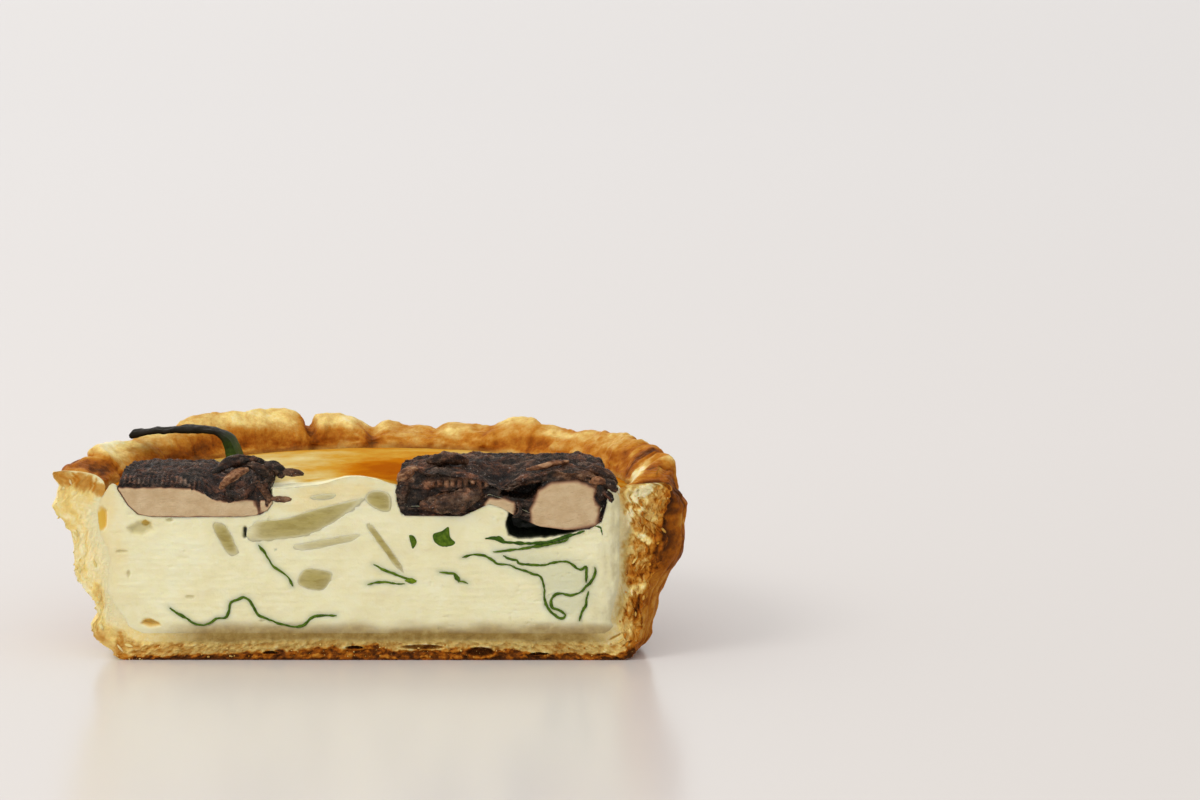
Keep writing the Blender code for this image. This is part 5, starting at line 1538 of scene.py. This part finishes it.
def build_crumbs(material, outer, inner):
    """Crumbs that the knife left on the cut crust, most of them along the base."""
    random = np.random.default_rng(SEED + 5)
    shape = Shape("bake", "soggy")
    count = len(outer)
    for number, first, last, near, far, least_bake, most_bake in CRUMB_BANDS:
        for _ in range(number):
            k = int(random.uniform(first, last) * count)
            place = outer[k] + (inner[k] - outer[k]) * random.uniform(near, far)
            size = 0.06 + 0.20 * random.random() ** 3.5
            half = size * random.uniform(0.6, 1.2, 3)
            centre = (place[0], random.uniform(-0.05, 0.25), max(place[2], half[2]))
            add_crumb(shape, centre, half, random, random.uniform(least_bake, most_bake))
    shape.make("crust_crumbs", material, "crust")


def add_crumb(shape, centre, half, random, bake):
    """One crumb: a low ball whose points are pushed about."""
    turns = np.linspace(0, 2 * math.pi, 7, endpoint=False)[None]
    tilts = np.array((0.55, 1.25, 1.9, 2.6))[:, None]
    unit = at(np.sin(tilts) * np.cos(turns), np.sin(tilts) * np.sin(turns), np.cos(tilts) + 0 * turns)
    points = unit * random.uniform(0.55, 1.1, unit.shape[:2])[..., None] * half + np.array(centre)
    index = shape.sheet(points, round_columns=True, bake=bake)
    shape.fill(index[0][:-1], flip=True)
    shape.fill(index[-1][:-1])


def build_flakes(material, outer, inner):
    """Thin flakes of pastry that lift from the cut and run along its layers."""
    random = np.random.default_rng(SEED + 9)
    shape = Shape("bake", "soggy")
    count = len(outer)
    for _ in range(FLAKE_COUNT):
        span = (0.02, 0.22) if random.random() < FLAKES_AT_RIGHT else (0.78, 0.98)
        k = int(random.uniform(*span) * count)
        share = random.uniform(0.02, 0.6)
        place = outer[k] + (inner[k] - outer[k]) * share
        ahead = outer[min(k + 6, count - 1)] - outer[max(k - 6, 0)]
        heading = math.atan2(ahead[2], ahead[0]) + random.normal(0, 0.16)
        length = random.uniform(0.4, 1.9)
        width = random.uniform(0.2, 0.6)
        right = smooth_step(-10, 40, place[0])
        bake = random.uniform(0.06, 0.20) + right * (0.16 + 0.34 * random.random() ** 0.7)
        add_flake(shape, place, heading, length, width, random, float(bake))
    shape.make("crust_flakes", material, "crust")


def add_flake(shape, place, heading, length, width, random, bake):
    """A curved scale with a tapered outline, lifted at one side."""
    along = np.linspace(-0.5, 0.5, 9)[None]
    over = np.linspace(-0.5, 0.5, 5)[:, None]
    taper = np.clip(1 - (2 * np.abs(along)) ** random.uniform(1.6, 3.0), 0.05, 1.0)
    u = along * length + 0 * over
    v = over * width * taper
    lift = random.uniform(0.08, 0.36)
    depth = 0.10 - lift * (over + 0.5) - random.uniform(0.0, 0.3) * (1 - (2 * along) ** 2)
    depth = depth + 0.10 * noise(at(u, v, 0.0), 0.6, int(random.integers(1, 10_000)))
    x = place[0] + u * math.cos(heading) - v * math.sin(heading)
    z = place[2] + u * math.sin(heading) + v * math.cos(heading)
    z = np.maximum(z, 0.05)
    front = at(x, depth, z)
    behind = at(x, depth + FLAKE_THICKNESS, z)
    top = shape.sheet(front, bake=bake)
    low = shape.sheet(behind, flip=True, bake=bake)
    sides = ((top[0], low[0]), (top[-1][::-1], low[-1][::-1]), (top[::-1, 0], low[::-1, 0]),
             (top[:, -1], low[:, -1]))
    for one, other in sides:
        shape.faces.append(np.stack((one[1:], one[:-1], other[:-1], other[1:]), axis=-1))


def floor_material():
    """A pale, slightly glossy table, with painted shade that makes it a little darker in front of the food.
    """
    g = Graph("table")
    place = g.tree.nodes.new("ShaderNodeSeparateXYZ")
    g.feed(place.inputs[0], g.place)
    # Painted shade: the table's colour is darker near and in front of the food and lighter further back.
    near = g.spread(place.outputs["Y"], -0.35, 1.4)
    colour = g.ramp(near, (0.0, (0.68, 0.65, 0.62)), (0.25, (0.74, 0.71, 0.69)), (1.0, (0.80, 0.78, 0.77)))
    g.set(Base_Color=colour, Metallic=0.0, Roughness=0.22, Specular_IOR_Level=0.5)
    return g.material


def build_floor():
    bpy.ops.mesh.primitive_circle_add(vertices=96, radius=TABLE_RADIUS, fill_type="NGON", location=(0, 0, 0))
    floor = bpy.context.object
    floor.name = "table_top"
    floor.data.materials.append(floor_material())


def add_camera():
    data = bpy.data.cameras.new("camera")
    data.lens = LENS
    data.sensor_width = SENSOR_WIDTH
    data.clip_start = 0.01
    data.clip_end = 50.0
    camera = bpy.data.objects.new("camera", data)
    place = np.array((CAMERA_DISTANCE * math.sin(CAMERA_AZIMUTH), -CAMERA_DISTANCE * math.cos(CAMERA_AZIMUTH),
                      CAMERA_HEIGHT))
    camera.location = (place + ORIGIN) * MM
    camera.rotation_euler = Euler((math.pi / 2 - CAMERA_PITCH, 0.0, CAMERA_YAW))
    bpy.context.scene.collection.objects.link(camera)
    bpy.context.scene.camera = camera


def add_key():
    """A soft round light from the upper left."""
    data = bpy.data.lights.new("key", "AREA")
    data.shape = "DISK"
    data.size = KEY_SIZE
    data.energy = KEY_POWER
    data.color = KEY_COLOUR
    light = bpy.data.objects.new("key", data)
    light.location = KEY_PLACE
    way = np.array(KEY_AIM) - np.array(KEY_PLACE)
    light.rotation_euler = Euler((math.atan2(math.hypot(way[0], way[1]), -way[2]), 0.0,
                                  math.atan2(way[1], way[0]) - math.pi / 2))
    bpy.context.scene.collection.objects.link(light)


def add_world():
    """A bright studio that is lighter on the left and overhead."""
    world = bpy.data.worlds.new("studio")
    bpy.context.scene.world = world
    world.use_nodes = True
    tree = world.node_tree
    background = tree.nodes["Background"]
    way = tree.nodes.new("ShaderNodeTexCoord").outputs["Generated"]
    parts = tree.nodes.new("ShaderNodeSeparateXYZ")
    tree.links.new(way, parts.inputs[0])
    level = None
    for axis, low, high, weak, strong in WORLD_SIDES:
        node = tree.nodes.new("ShaderNodeMapRange")
        node.interpolation_type = "SMOOTHSTEP"
        tree.links.new(parts.outputs[axis], node.inputs["Value"])
        for name, value in zip(("From Min", "From Max", "To Min", "To Max"), (low, high, weak, strong)):
            node.inputs[name].default_value = value
        if level is None:
            level = node.outputs["Result"]
        else:
            times = tree.nodes.new("ShaderNodeMath")
            times.operation = "MULTIPLY"
            tree.links.new(level, times.inputs[0])
            tree.links.new(node.outputs["Result"], times.inputs[1])
            level = times.outputs[0]
    tree.links.new(level, background.inputs["Strength"])
    background.inputs["Color"].default_value = (*WORLD_COLOUR, 1.0)


def add_lights():
    add_world()
    add_key()
    scene = bpy.context.scene
    scene.view_settings.view_transform = "Standard"
    scene.view_settings.look = "None"
    scene.view_settings.exposure = 0.0
    scene.view_settings.gamma = 1.0


def build_quiche():
    pastry = crust_material()
    shell, places, bake, soggy = crust_shell()
    outer, inner = cut_lines(shell, places)
    build_crust(pastry, shell, bake, soggy, outer, inner)
    build_custard(custard_material(), skin_material(), side_lines(inner))
    build_mushrooms(mushroom_material())
    leaf = spinach_material()
    build_shreds(leaf)
    build_scraps(leaf)
    build_top_leaf(leaf)
    build_onions(onion_material())
    build_crumbs(pastry, outer, inner)
    build_flakes(pastry, outer, inner)


build_floor()
add_camera()
add_lights()
build_quiche()
